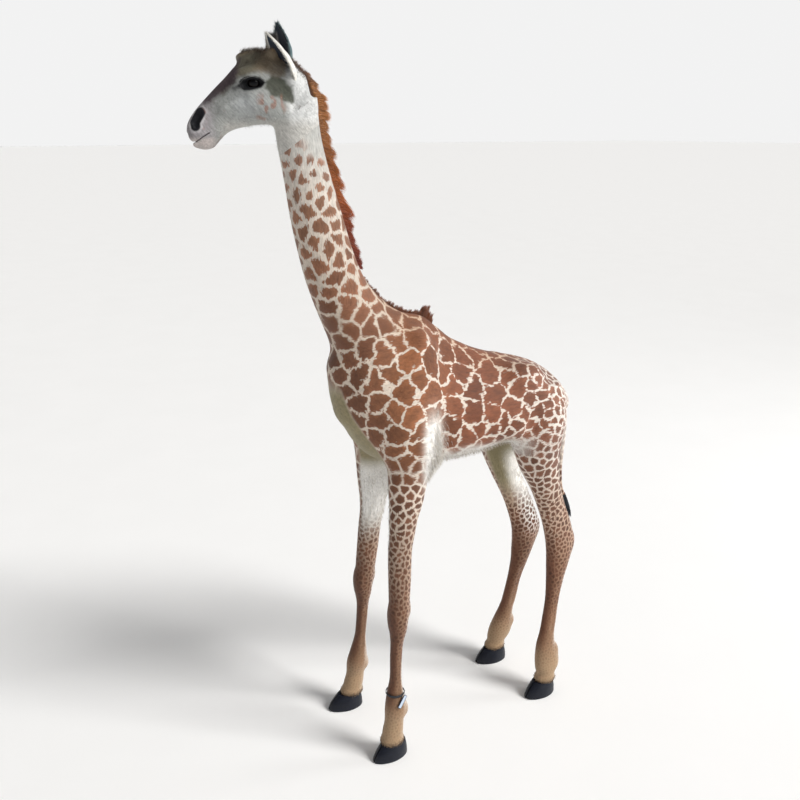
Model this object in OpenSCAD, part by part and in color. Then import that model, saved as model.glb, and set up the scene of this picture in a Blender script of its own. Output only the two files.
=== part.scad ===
// Full-body standing mount of a giraffe calf: rigid foam forms on bent steel
// rods and a plywood spine board, under a thin hide with hooves, ears, mane,
// glass eyes and tail. The animal faces -Y, its left side is +X, +Z is up and
// the soles stand on Z = 0.

/* [Stance] */
// How far the front soles stand ahead of the origin
stance_y = 162; // [150:1:175]
// Turn of the head to the animal's own right, degrees
head_turn = 22; // [0:1:30]

/* [Hide] */
// Thickness of skin and short hair over the forms
hide_t = 4; // [3:0.5:5]
// Paste gap between form and hide
paste = 0.4; // [0.2:0.1:0.6]
// Sides of each ring on the trunk
trunk_sides = 20; // [16:4:24]
// Sides of each ring on a leg
leg_sides = 12; // [10:2:14]

/* [Armature] */
// Diameter of the bent leg rods
rod_d = 10; // [8:1:10]
// Tapping diameter of the threaded sole sockets
socket_tap_d = 8.5; // [6.8:0.1:8.5]
// Depth of the tapped hole from the sole
socket_depth = 25; // [18:1:26]
// Outer diameter of the sole sockets
socket_od = 16; // [14:1:18]
// Thickness of the plywood spine board
board_t = 18; // [15:1:18]
// Diameter of the neck rod
neck_rod_d = 20; // [16:1:22]

/* [Trimmings] */
// Radius of the glass eyes
eye_r = 15; // [13:0.5:16]
// Thickness of the ear skin
ear_t = 3; // [2:0.5:3]
// Width of the mane at its root
mane_w = 14; // [10:1:16]
// Length of the tag on the leg
tag_l = 38; // [30:1:42]

/* [Hidden] */
rod_r = rod_d / 2;
neck_rod_r = neck_rod_d / 2;
bt = board_t / 2;
rod_x = bt + rod_r + 0.5; // rods lie this far off the centre, beside the board

// ---- sections -------------------------------------------------------------
// A row is [x, yA, zA, yB, zB, w, t]: A is the upper or front edge of the
// section, B the lower or rear edge, w its half width and t how much it
// narrows towards A.
trunk = [ // neck
  [0, -112, 1694, -212, 1648, 36, 0.05],
  [0, -106, 1622, -206, 1592, 41, 0.05],
  [0, -90, 1552, -194, 1526, 43, 0.08],
  [0, -59, 1450, -177, 1416, 48, 0.10],
  [0, -24, 1339, -150, 1301, 54, 0.12],
  [0, 10, 1272, -126, 1230, 59, 0.15],
  [0, 54, 1224, -102, 1172, 66, 0.20],
  // shoulder and chest
  [0, 104, 1190, -80, 1112, 76, 0.25],
  [0, 168, 1172, -82, 1050, 90, 0.30],
  [0, 214, 1138, -76, 980, 104, 0.30],
  [0, 252, 1108, -46, 900, 114, 0.28],
  [0, 290, 1088, 4, 830, 120, 0.25],
  [0, 330, 1070, 80, 792, 126, 0.22],
  // barrel
  [0, 376, 1054, 180, 784, 134, 0.20],
  [0, 430, 1040, 290, 788, 138, 0.20],
  [0, 482, 1026, 390, 808, 134, 0.22],
  // rump
  [0, 534, 1006, 468, 840, 122, 0.25],
  [0, 584, 974, 540, 850, 104, 0.22],
  [0, 622, 936, 596, 846, 80, 0.15],
  [0, 644, 896, 632, 850, 46, 0.05]];
neck_n = 6; // the last row of the neck, shared with the torso

// [z, w, d] of a front limb from the coronet up to the top of the shoulder
front_girth = [[44, 24, 29], [75, 25, 29], [106, 23, 27], [142, 27, 30], [186, 20, 23],
  [228, 16, 16], [286, 16, 16], [330, 18, 17], [366, 24, 23], [402, 27, 25], [444, 26, 28],
  [500, 25, 31], [580, 25, 33], [624, 27, 35], [670, 30, 40], [705, 34, 46], [755, 39, 53],
  [800, 46, 60], [860, 50, 74], [940, 48, 80]];
// [x, y] of its middle at the same heights
front_left_way = [[128, 6], [127, 9], [126, 14], [124, 20], [122, 19],
  [120, 22], [117, 25], [115, 29], [113, 34], [112, 37], [109, 40],
  [106, 43], [101, 47], [99, 54], [96, 61], [94, 69], [90, 76],
  [86, 84], [84, 88], [82, 92]];
front_right_way = [[-128, 16], [-127, 24], [-126, 30], [-124, 35], [-122, 40],
  [-120, 45], [-118, 50], [-116, 52], [-114, 53], [-112, 55], [-109, 58],
  [-107, 64], [-103, 71], [-99, 76], [-97, 79], [-95, 80], [-92, 82],
  [-88, 84], [-84, 88], [-82, 92]];
// a hind limb, up to the point of the croup
hind_girth = [[44, 23, 27], [67, 25, 30], [88, 27, 39], [117, 27, 39], [152, 23, 30],
  [184, 18, 25], [214, 17, 24], [284, 17, 23], [346, 22, 29], [390, 25, 38], [432, 27, 45],
  [474, 26, 49], [530, 24, 48], [582, 26, 46], [652, 34, 48], [725, 46, 62], [790, 60, 72],
  [850, 68, 82], [910, 64, 80], [960, 50, 64]];
hind_left_way = [[113, 544], [112, 549], [110, 554], [105, 556], [99, 555],
  [94, 562], [90, 570], [80, 588], [74, 600], [70, 610], [67, 617],
  [66, 615], [69, 597], [72, 574], [80, 541], [86, 510], [88, 496],
  [84, 500], [78, 502], [68, 504]];
hind_right_way = [[-110, 522], [-109, 529], [-107, 537], [-104, 543], [-100, 548],
  [-95, 554], [-91, 561], [-82, 570], [-75, 582], [-72, 590], [-69, 595],
  [-67, 592], [-66, 572], [-70, 550], [-76, 518], [-84, 502], [-88, 496],
  [-84, 500], [-78, 502], [-68, 504]];

// the head, in its own frame: forward is -Y from the joint with the neck
head_rows = [
  [0, 13, 1740, 25, 1674, 30, 0],
  [0, -16, 1768, -20, 1662, 42, 0.05],
  [0, -48, 1788, -46, 1648, 50, 0.05],
  [0, -84, 1790, -74, 1638, 53, 0.10],
  [0, -114, 1780, -98, 1636, 52, 0.15],
  [0, -138, 1759, -120, 1632, 45, 0.15],
  [0, -161, 1735, -143, 1627, 38, 0.15],
  [0, -184, 1713, -163, 1618, 33, 0.10],
  [0, -207, 1690, -178, 1604, 31, 0.05],
  [0, -226, 1670, -192, 1590, 32, 0],
  [0, -240, 1652, -212, 1586, 31, 0],
  [0, -248, 1636, -230, 1594, 25, 0],
  [0, -250, 1622, -240, 1606, 12, 0]];
eye_at = [38, -100, 1721];

// [x, y, z, radius] down the tail
tail_way = [[0, 638, 902, 14], [0, 656, 868, 12], [0, 666, 820, 9], [0, 667, 760, 8],
  [0, 663, 700, 7], [0, 662, 650, 6.5], [0, 668, 600, 6], [0, 680, 572, 6]];
wire_way = [[0, 640, 898], [0, 665, 820], [0, 662, 650], [0, 679, 575]];
tuft_way = [[0, 680.5, 571.6, 7], [0, 690, 552, 13], [0, 698, 528, 16], [0, 702, 508, 14], [0, 704, 490, 5]];

// bends of each rod, from the sole socket up to the spine board
rod_front_left = [[128, 8, 27], [124, 19, 143], [120, 22, 228], [112, 37, 402], [101, 48, 580],
  [86, 82, 800], [56, 104, 880], [rod_x, 120, 945], [rod_x, 120, 1040]];
rod_front_right = [[-128, 14, 27], [-125, 33, 120], [-119, 47, 250], [-112, 56, 411], [-102, 73, 595],
  [-88, 84, 800], [-56, 104, 880], [-rod_x, 120, 945], [-rod_x, 120, 1040]];
rod_hind_left = [[113, 540, 27], [105, 556, 117], [92, 567, 205], [73, 601, 347], [67, 614, 455],
  [72, 575, 581], [84, 524, 690], [86, 500, 820], [50, 508, 900], [rod_x, 512, 940], [rod_x, 512, 990]];
rod_hind_right = [[-110, 520, 27], [-104, 543, 119], [-93, 557, 200], [-76, 580, 335], [-69, 594, 440],
  [-69, 555, 560], [-80, 512, 680], [-86, 498, 820], [-50, 508, 900], [-rod_x, 512, 940], [-rod_x, 512, 990]];
neck_rod_way = [[0, 46, 1086], [0, -36, 1218], [0, -100, 1370], [0, -146, 1560], [0, -160, 1690]];

// ---- functions ------------------------------------------------------------
function cr(a, b, c, d, t) = 0.5 * (2 * b + (c - a) * t + (2 * a - 5 * b + 4 * c - d) * t * t
  + (3 * b - a - 3 * c + d) * t * t * t);
function at(tab, i) = tab[max(0, min(len(tab) - 1, i))];
// rows from a to b with k steps between each pair
function fine(tab, a, b, k) = concat(
  [for (i = [a:1:b - 1]) for (j = [0:1:k - 1])
    cr(at(tab, i - 1), tab[i], tab[i + 1], at(tab, i + 2), j / k)], [tab[b]]);
function limb(girth, way) = [for (i = [0:1:len(girth) - 1])
  [way[i][0], way[i][1] - girth[i][2], girth[i][0], way[i][1] + girth[i][2], girth[i][0], girth[i][1], 0]];
// one ring of n points, drawn in by g
function ring(r, n, g) = let (my = (r[1] + r[3]) / 2, mz = (r[2] + r[4]) / 2,
    hy = (r[1] - r[3]) / 2, hz = (r[2] - r[4]) / 2, h = norm([hy, hz]), k = (h - g) / h, w = r[5] - g)
  [for (i = [0:1:n - 1]) let (c = cos(i * 360 / n), s = sin(i * 360 / n))
    [r[0] + w * s * (1 - r[6] * c), my + hy * k * c, mz + hz * k * c]];
function flat(v) = [for (a = v) for (b = a) b];

function sum(v, i = 0) = i == len(v) - 1 ? v[i] : v[i] + sum(v, i + 1);
// which way the middle ring turns, seen along the row of rings
function turn_of(rings) = let (k = floor(len(rings) / 2), p = rings[k], n = len(p), c = sum(p) / n,
    d = sum(rings[k]) - sum(rings[k - 1])) sum([for (i = [0:1:n - 1]) cross(p[i] - c, p[(i + 1) % n] - c)]) * d;
function well(rings) = turn_of(rings) > 0 ? turned(rings) : rings;
function turned(v) = [for (i = [len(v) - 1:-1:0]) v[i]];

module skin_over(given) {
  rings = well(given);
  n = len(rings[0]);
  m = len(rings);
  polyhedron(points = flat(rings), faces = concat(
    [[for (i = [0:1:n - 1]) n - 1 - i]],
    [for (j = [0:1:m - 2]) for (i = [0:1:n - 1]) let (q = (i + 1) % n)
      [j * n + i, j * n + q, (j + 1) * n + q, (j + 1) * n + i]],
    [[for (i = [0:1:n - 1]) (m - 1) * n + i]]), convexity = 6);
}
// a wall between outer and inner rings, open at both ends
module tube_over(out_given, in_given) {
  flip = turn_of(out_given) > 0;
  outer = flip ? turned(out_given) : out_given;
  inner = flip ? turned(in_given) : in_given;
  n = len(outer[0]);
  m = len(outer);
  k = m * n;
  polyhedron(points = concat(flat(outer), flat(inner)), faces = concat(
    [for (j = [0:1:m - 2]) for (i = [0:1:n - 1]) let (q = (i + 1) % n)
      [j * n + i, j * n + q, (j + 1) * n + q, (j + 1) * n + i]],
    [for (j = [0:1:m - 2]) for (i = [0:1:n - 1]) let (q = (i + 1) % n)
      [k + j * n + q, k + j * n + i, k + (j + 1) * n + i, k + (j + 1) * n + q]],
    [for (i = [0:1:n - 1]) let (q = (i + 1) % n) [i, k + i, k + q, q]],
    [for (i = [0:1:n - 1]) let (q = (i + 1) % n, e = (m - 1) * n) [e + q, k + e + q, k + e + i, e + i]]), convexity = 6);
}
// keeps a shape as it is, but drawn as one mesh
module one_mesh() { resize([0, 0, 0]) children(); }
module stand() { translate([0, -stance_y, 0]) children(); }
module head_place() { translate([0, -150, 0]) rotate([0, 0, -head_turn]) children(); }

// rows a to b of the trunk as a closed shape
module trunk_part(a, b, g) { skin_over([for (r = fine(trunk, a, b, 1)) ring(r, trunk_sides, g)]); }
module torso_shape(g) { trunk_part(neck_n, len(trunk) - (g > 0 ? 2 : 1), g); }
module neck_shape(g) { trunk_part(0, neck_n, g); }
// one side of the torso, flat towards the spine board at x = c
module torso_half(s, c, g) {
  n = trunk_sides / 2;
  rows = fine(trunk, neck_n, len(trunk) - 2, 1);
  rings = [for (r = rows) let (p = ring(r, trunk_sides, g)) s > 0
    ? [for (i = [0:1:n]) [max(c, p[i][0]), p[i][1], p[i][2]]]
    : [for (i = [0:1:n]) let (q = p[(trunk_sides - n + i) % trunk_sides]) [min(-c, q[0]), q[1], q[2]]]];
  skin_over(rings);
}
// where a rod's way crosses the height z
function rod_at(way, z) = let (k = [for (i = [0:1:len(way) - 2]) if (way[i + 1][2] >= z) i][0],
    t = max(0, min(1, (z - way[k][2]) / (way[k + 1][2] - way[k][2])))) way[k] + (way[k + 1] - way[k]) * t;
function hole(c, z, r, n) = [for (i = [0:1:n - 1]) [c[0] + r * sin(i * 360 / n), c[1] - r * cos(i * 360 / n), z]];
// rows of a limb from the coronet to the last one inside the torso
function limb_rings(girth, way, g) = [for (r = limb(girth, way)) ring(r, leg_sides, g)];
module limb_shape(girth, way, g) { skin_over(limb_rings(girth, way, g)); }
module four_limbs(g) {
  limb_shape(front_girth, front_left_way, g);
  limb_shape(front_girth, front_right_way, g);
  limb_shape(hind_girth, hind_left_way, g);
  limb_shape(hind_girth, hind_right_way, g);
}
module head_shape(g) {
  last = len(head_rows) - 1 - (g > 0 ? 1 : 0);
  head_place() skin_over([for (r = fine(head_rows, g > 0 ? 1 : 0, last, 1)) ring(r, 16, g)]);
}
// round bar from a to b
module bar(a, b, r, n) {
  d = b - a;
  h = norm(d);
  translate(a) rotate([0, acos(d[2] / h), atan2(d[1], d[0])]) cylinder(h = h, r = r, $fn = n);
}
module bent_bar(way, r, n) {
  for (i = [0:1:len(way) - 2]) bar(way[i], way[i + 1], r, n);
  for (i = [1:1:len(way) - 2]) translate(way[i]) sphere(r = r + 0.12, $fn = n);
}
// rows a to b of the trunk as a closed shape
module trunk_part(a, b, g) { skin_over([for (r = fine(trunk, a, b, 1)) ring(r, trunk_sides, g)]); }
module torso_shape(g) { trunk_part(neck_n, len(trunk) - (g > 0 ? 2 : 1), g); }
module neck_shape(g) { trunk_part(0, neck_n, g); }
// one side of the torso, flat towards the spine board at x = c
module torso_half(s, c, g) {
  n = trunk_sides / 2;
  rows = fine(trunk, neck_n, len(trunk) - 2, 1);
  rings = [for (r = rows) let (p = ring(r, trunk_sides, g)) s > 0
    ? [for (i = [0:1:n]) [max(c, p[i][0]), p[i][1], p[i][2]]]
    : [for (i = [0:1:n]) let (q = p[(trunk_sides - n + i) % trunk_sides]) [min(-c, q[0]), q[1], q[2]]]];
  skin_over(rings);
}
// where a rod's way crosses the height z
function rod_at(way, z) = let (k = [for (i = [0:1:len(way) - 2]) if (way[i + 1][2] >= z) i][0],
    t = max(0, min(1, (z - way[k][2]) / (way[k + 1][2] - way[k][2])))) way[k] + (way[k + 1] - way[k]) * t;
function hole(c, z, r, n) = [for (i = [0:1:n - 1]) [c[0] + r * sin(i * 360 / n), c[1] - r * cos(i * 360 / n), z]];
// rows of a limb from the coronet to the last one inside the torso
function limb_rings(girth, way, g) = [for (r = limb(girth, way)) ring(r, leg_sides, g)];
module limb_shape(girth, way, g) { skin_over(limb_rings(girth, way, g)); }
module four_limbs(g) {
  limb_shape(front_girth, front_left_way, g);
  limb_shape(front_girth, front_right_way, g);
  limb_shape(hind_girth, hind_left_way, g);
  limb_shape(hind_girth, hind_right_way, g);
}
module head_shape(g) {
  last = len(head_rows) - 1 - (g > 0 ? 1 : 0);
  head_place() skin_over([for (r = fine(head_rows, g > 0 ? 1 : 0, last, 1)) ring(r, 16, g)]);
}
// round bar from a to b
module bar(a, b, r, n) {
  d = b - a;
  h = norm(d);
  translate(a) rotate([0, acos(d[2] / h), atan2(d[1], d[0])]) cylinder(h = h, r = r, $fn = n);
}
module bent_bar(way, r, n) {
  for (i = [0:1:len(way) - 2]) bar(way[i], way[i + 1], r, n);
  for (i = [1:1:len(way) - 2]) translate(way[i]) sphere(r = r + 0.12, $fn = n);
}
// ---- forms ----------------------------------------------------------------
module clamp_blocks(e) {
  for (s = [-1, 1]) for (p = [[120, 1012], [512, 968]])
    translate([s * (bt + 0.2 + 7) - 7 - e, p[0] - 17 - e, p[1] - 12 - e]) cube([14 + 2 * e, 34 + 2 * e, 24 + 2 * e]);
}
module bolt_set(r, h) {
  for (p = [[120, 1012], [512, 968]]) for (d = [-11, 11])
    translate([-h, p[0] + d, p[1]]) rotate([0, 90, 0]) cylinder(h = 2 * h, r = r, $fn = 24);
}
module form_half(s, rods) {
  color("#D9C98A") stand() one_mesh() difference() {
    torso_half(s, bt + 0.2, hide_t + paste);
    for (w = rods) bent_bar([for (p = w) if (p[2] > 690) p], (rod_r + 0.3) / cos(15), 12);
    clamp_blocks(0.3);
    for (p = [[120, 1012], [512, 968]]) for (d = [-11, 11])
      translate([s > 0 ? 0 : -bt - 22, p[0] + d, p[1]]) rotate([0, 90, 0]) cylinder(h = bt + 22, r = 7, $fn = 12);
    bar([0, 60, 1064], [0, -60, 1256], 17, 12);
    translate([-32, 24, 1020]) cube([64, 41, 100]);
  }
}
module form_torso_left() { form_half(1, [rod_front_left, rod_hind_left]); }
module form_torso_right() { form_half(-1, [rod_front_right, rod_hind_right]); }
module form_neck() {
  color("#D9C98A") stand() difference() {
    neck_shape(hide_t + paste);
    bent_bar(neck_rod_way, neck_rod_r + 0.3, 36);
    bar(neck_rod_way[0], [0, -23.5, 1198], 17, 36);
  }
}
module form_head() {
  color("#D9C98A") stand() one_mesh() difference() {
    head_shape(hide_t + paste);
    neck_shape(-paste);
    head_place() for (s = [-1, 1]) translate([s * eye_at[0], eye_at[1], eye_at[2]]) sphere(r = eye_r + 0.5, $fn = 14);
    translate([-16.5, -185.5, 1661.5]) cube([33, 43, 49]);
  }
}
module form_leg(girth, way, rod, a, b) {
  color("#D9C98A") stand() difference() {
    tube_over(limb_rings(girth, way, hide_t + paste),
      [for (g = girth) hole(rod_at(rod, g[0]), g[0], rod_r + 0.8, leg_sides)]);
    trunk_part(a, b, hide_t);
  }
}
module form_leg_front_left() { form_leg(front_girth, front_left_way, rod_front_left, 7, 13); }
module form_leg_front_right() { form_leg(front_girth, front_right_way, rod_front_right, 7, 13); }
module form_leg_hind_left() { form_leg(hind_girth, hind_left_way, rod_hind_left, 13, 18); }
module form_leg_hind_right() { form_leg(hind_girth, hind_right_way, rod_hind_right, 13, 18); }

// ---- hide -----------------------------------------------------------------
module hide_torso() {
  color("#9A5230") stand() one_mesh() difference() {
    torso_shape(0);
    torso_shape(hide_t);
    four_limbs(0);
  }
}
module hide_neck() {
  color("#C98E62") stand() one_mesh() difference() {
    neck_shape(0);
    neck_shape(hide_t);
  }
}
module hide_head() {
  color("#B9B4A4") stand() one_mesh() difference() {
    head_shape(0);
    head_shape(hide_t);
    neck_shape(-paste);
    head_place() for (s = [-1, 1]) translate([s * eye_at[0], eye_at[1], eye_at[2]]) sphere(r = eye_r + 0.5, $fn = 14);
    translate([-16.5, -185.5, 1661.5]) cube([33, 43, 49]);
  }
}
module hide_leg(girth, way, a, b) {
  color("#B98562") stand() one_mesh() difference() {
    limb_shape(girth, way, 0);
    limb_shape(girth, way, hide_t);
    trunk_part(a, b, 0);
  }
}
module hide_leg_front_left() { hide_leg(front_girth, front_left_way, 7, 13); }
module hide_leg_front_right() { hide_leg(front_girth, front_right_way, 7, 13); }
module hide_leg_hind_left() { hide_leg(hind_girth, hind_left_way, 13, 18); }
module hide_leg_hind_right() { hide_leg(hind_girth, hind_right_way, 13, 18); }
function tube(way, n) = [for (p = way) [for (i = [0:1:n - 1])
  [p[0] + p[3] * sin(i * 360 / n), p[1] - p[3] * cos(i * 360 / n), p[2]]]];
module hide_tail() {
  color("#A8663F") stand() one_mesh() difference() {
    skin_over(turned(tube([for (p = tail_way) p], 10)));
    torso_shape(-paste);
    skin_over([for (p = concat([[0, 638, 904]], [for (i = [1:1:len(wire_way) - 1]) wire_way[i]])) hole(p, p[2], 2.7, 8)]);
  }
}

// ---- hooves ---------------------------------------------------------------
// [z, y, half length, half width] of one claw, sole to coronet
claw_rows = [[0, 0, 52, 30], [3, 0, 54, 31], [18, 3, 50, 30], [32, 7, 43, 28], [43, 11, 36, 25]];
module claw(s) {
  n = 16;
  skin_over([for (r = turned(claw_rows)) [for (i = [0:1:n - 1]) let (c = cos(i * 360 / n), v = sin(i * 360 / n))
    [s * (2 + (r[3] - 2) * (v > 0 ? v : 0) + (v < 0 ? 0.01 * v : 0)) * (1 - 0.25 * (c > 0 ? c : 0)) + (v <= 0 ? s * 0 : 0),
     r[1] - r[2] * (c > 0 ? pow(c, 0.9) : c * 0.92), r[0]]]]);
}
module hoof(x, y, turn, rod) {
  color("#1B1E26") stand() one_mesh() difference() {
    union() {
      translate([x, y, 0]) rotate([0, 0, turn]) {
        claw(1);
        mirror([1, 0, 0]) claw(1);
        translate([-8, -6, 0]) cube([16, 44, 40]);
      }
    }
    translate([rod[0][0], rod[0][1], -1]) cylinder(h = 60, r = socket_od / 2 + 0.2, $fn = 24);
  }
}
module hoof_front_left() { hoof(129, 0, 6, rod_front_left); }
module hoof_front_right() { hoof(-129, -1, -4, rod_front_right); }
module hoof_hind_left() { hoof(113, 528, 4, rod_hind_left); }
module hoof_hind_right() { hoof(-110, 511, -4, rod_hind_right); }

// ---- face trimmings -------------------------------------------------------
module eye(s) { color("#0B0B10") stand() head_place() translate([s * eye_at[0], eye_at[1], eye_at[2]]) sphere(r = eye_r, $fn = 48); }
module eye_left() { eye(1); }
module eye_right() { eye(-1); }
module eye_rim(s) {
  color("#141418") stand() head_place() translate([s * (eye_at[0] + 12.5), eye_at[1], eye_at[2]])
    rotate([0, 90, 0]) rotate_extrude($fn = 40) translate([12.5, 0]) circle(r = 1.8, $fn = 16);
}
module eye_rim_left() { eye_rim(1); }
module eye_rim_right() { eye_rim(-1); }
// [along, half width, cup depth] of an ear
ear_rows = [[0, 15, 14], [14, 21, 18], [32, 27, 20], [52, 28, 18], [72, 23, 14], [90, 15, 10], [104, 7, 6], [112, 4, 4]];
function cup(r, t, n) = concat(
  [for (i = [0:1:n]) let (a = -90 + 180 * i / n) [r[1] * sin(a), r[2] * cos(a), r[0]]],
  [for (i = [0:1:n]) let (a = 90 - 180 * i / n) [(r[1] - t) * sin(a), (r[2] - t) * cos(a) - 0.4, r[0]]]);
module ear_place(s) {
  head_place() translate([s * 40, s > 0 ? -18 : -30, s > 0 ? 1724 : 1748])
    rotate(s > 0 ? [26, -13, 38] : [-4, -16, 40]) children();
}
module ear(s) {
  color("#D8D6D0") stand() one_mesh() difference() {
    ear_place(s) skin_over(turned([for (r = ear_rows) cup(r, ear_t, 8)]));
    head_shape(-0.4);
    neck_shape(-0.4);
  }
}
module ear_left() { ear(1); }
module ear_right() { ear(-1); }
module ear_liner(s) {
  color("#1D2430") stand() one_mesh() difference() {
    ear_place(s) skin_over(turned([for (i = [1:1:6]) let (r = ear_rows[i]) cup([r[0], r[1] - ear_t - 0.3, r[2] - ear_t - 0.3], 1.2, 8)]));
    head_shape(-0.4);
    neck_shape(-0.4);
  }
}
module ear_liner_left() { ear_liner(1); }
module ear_liner_right() { ear_liner(-1); }
module ossicone(s) {
  color("#2A2422") stand() head_place() translate([s * 24, -56, 1789.5]) rotate([4, s * 8, 0])
    rotate_extrude($fn = 32) polygon([[0, 0], [11, 0], [10, 8], [9, 18], [9, 26], [6, 31], [0, 33]]);
}
module ossicone_left() { ossicone(1); }
module ossicone_right() { ossicone(-1); }

// ---- mane, tufts and tail -------------------------------------------------
// [y, z, lean y, lean z, height] along the crest of the neck
mane_rows = [[-113, 1700, 0.2, 1, 8], [-111, 1680, 0.6, 0.8, 22], [-106, 1640, 0.9, 0.35, 30], [-100, 1600, 0.95, 0.3, 36],
  [-88, 1548, 0.95, 0.3, 38], [-74, 1500, 0.95, 0.3, 36], [-58, 1448, 0.93, 0.35, 32], [-40, 1392, 0.9, 0.4, 28],
  [-22, 1342, 0.9, 0.45, 20], [-8, 1308, 0.85, 0.5, 8]];
function crest(r, w) = [[-w / 2, r[0] + 0.6 * r[2], r[1] + 0.6 * r[3]], [w / 2, r[0] + 0.6 * r[2], r[1] + 0.6 * r[3]],
  [w / 2.6, r[0] + r[4] * 0.6 * r[2], r[1] + r[4] * 0.6 * r[3]], [1, r[0] + r[4] * r[2], r[1] + r[4] * r[3]],
  [-1, r[0] + r[4] * r[2], r[1] + r[4] * r[3]], [-w / 2.6, r[0] + r[4] * 0.6 * r[2], r[1] + r[4] * 0.6 * r[3]]];
module mane() {
  color("#8A3B1E") stand() one_mesh() difference() {
    skin_over([for (r = fine(mane_rows, 0, len(mane_rows) - 1, 2)) crest(r, mane_w)]);
    neck_shape(-0.3);
    head_shape(-0.3);
  }
}
tuft_rows = [[150, 1176, 0.3, 1, 5], [160, 1174, 0.35, 1, 16], [172, 1171, 0.4, 1, 26], [184, 1164, 0.45, 1, 24], [198, 1152, 0.5, 1, 6]];
module withers_tuft() {
  color("#5A2A1C") stand() one_mesh() difference() {
    skin_over([for (r = fine(tuft_rows, 0, len(tuft_rows) - 1, 2)) crest(r, 12)]);
    torso_shape(-0.3);
  }
}
module tail_wire() {
  color("#8C8C90") stand() bent_bar(wire_way, 2, 24);
}
module tail_tuft() {
  color("#101014") stand() skin_over(turned(tube(tuft_way, 12)));
}

// ---- armature -------------------------------------------------------------
module leg_rod(way) { color("#8F9298") stand() bent_bar(way, rod_r, 32); }
module leg_rod_front_left() { leg_rod(rod_front_left); }
module leg_rod_front_right() { leg_rod(rod_front_right); }
module leg_rod_hind_left() { leg_rod(rod_hind_left); }
module leg_rod_hind_right() { leg_rod(rod_hind_right); }
module sole_sockets() {
  color("#A7A9AE") stand() for (w = [rod_front_left, rod_front_right, rod_hind_left, rod_hind_right])
    translate([w[0][0], w[0][1], 0]) difference() {
      cylinder(h = 40, r = socket_od / 2, $fn = 48);
      translate([0, 0, -1]) cylinder(h = socket_depth + 1, r = socket_tap_d / 2, $fn = 48);
      translate([0, 0, 26.9]) cylinder(h = 20, r = rod_r + 1.2, $fn = 48);
    }
}
module centre_board() {
  color("#C9A36B") stand() difference() {
    translate([-bt, 0, 0]) rotate([90, 0, 90]) linear_extrude(board_t)
      polygon([[64, 880], [64, 1070], [150, 1086], [230, 1060], [330, 1040], [440, 1014], [540, 990], [584, 950],
        [580, 900], [520, 880], [430, 850], [250, 836], [130, 846]]);
    bolt_set(3.2, 40);
    for (y = [200, 280, 360, 440]) translate([0, y, 940]) rotate([0, 90, 0]) cylinder(h = 60, r = 26, center = true, $fn = 48);
  }
}
module rod_clamps() {
  color("#9DA0A6") stand() difference() {
    clamp_blocks(0);
    for (s = [-1, 1]) {
      translate([s * rod_x, 120, 980]) cylinder(h = 70, r = rod_r + 0.05, $fn = 48);
      translate([s * rod_x, 512, 940]) cylinder(h = 70, r = rod_r + 0.05, $fn = 48);
    }
    bolt_set(3.2, 40);
  }
}
module clamp_bolts() {
  h = bt + 14.3;
  color("#B5B7BB") stand() {
    bolt_set(3, h);
    for (p = [[120, 1012], [512, 968]]) for (d = [-11, 11]) for (s = [-1, 1])
      translate([s * (h + 2) - 2, p[0] + d, p[1]]) rotate([0, 90, 0]) cylinder(h = 4, r = 5.5, $fn = 6);
  }
}
module neck_rod() {
  color("#8F9298") stand() bent_bar(neck_rod_way, neck_rod_r, 36);
}
module neck_socket() {
  color("#9DA0A6") stand() difference() {
    union() {
      bar([0, 52.3, 1075.9], [0, 14.3, 1137], 15, 36);
      translate([-25, 57, 1030]) cube([50, 6.8, 70]);
      translate([-4, 34, 1040]) cube([8, 24, 40]);
    }
    bar([0, 46, 1086], [0, 0, 1160.1], neck_rod_r + 0.1, 36);
  }
}
module head_block() {
  color("#C9A36B") stand() difference() {
    translate([-16, -185, 1662]) cube([32, 42, 48]);
    bar(neck_rod_way[3], neck_rod_way[4], neck_rod_r + 0.1, 36);
    translate([-40, -90, 1600]) rotate([-25, 0, 0]) cube([80, 60, 80]);
  }
}

// ---- leg tag --------------------------------------------------------------
module leg_band() {
  color("#2A2E38") stand() translate([122, 19.5, 184]) rotate_extrude($fn = 48)
    translate([24, 0]) square([1.6, 7]);
}
module leg_tag() {
  color("#A9B6C4") stand() translate([149.4, 26, 170]) rotate([52, 0, 14]) translate([0, -tag_l / 2, -7])
    cube([1.6, tag_l, 14]);
}

form_torso_left();
form_torso_right();
form_neck();
form_head();
form_leg_front_left();
form_leg_front_right();
form_leg_hind_left();
form_leg_hind_right();
hide_torso();
hide_neck();
hide_head();
hide_leg_front_left();
hide_leg_front_right();
hide_leg_hind_left();
hide_leg_hind_right();
hide_tail();
hoof_front_left();
hoof_front_right();
hoof_hind_left();
hoof_hind_right();
eye_left();
eye_right();
eye_rim_left();
eye_rim_right();
ear_left();
ear_right();
ear_liner_left();
ear_liner_right();
ossicone_left();
ossicone_right();
mane();
withers_tuft();
tail_wire();
tail_tuft();
leg_rod_front_left();
leg_rod_front_right();
leg_rod_hind_left();
leg_rod_hind_right();
sole_sockets();
centre_board();
rod_clamps();
clamp_bolts();
neck_rod();
neck_socket();
head_block();
leg_band();
leg_tag();
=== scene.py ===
import bpy
import bmesh
import math
import numpy as np
import openvdb
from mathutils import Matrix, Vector, kdtree


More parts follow.
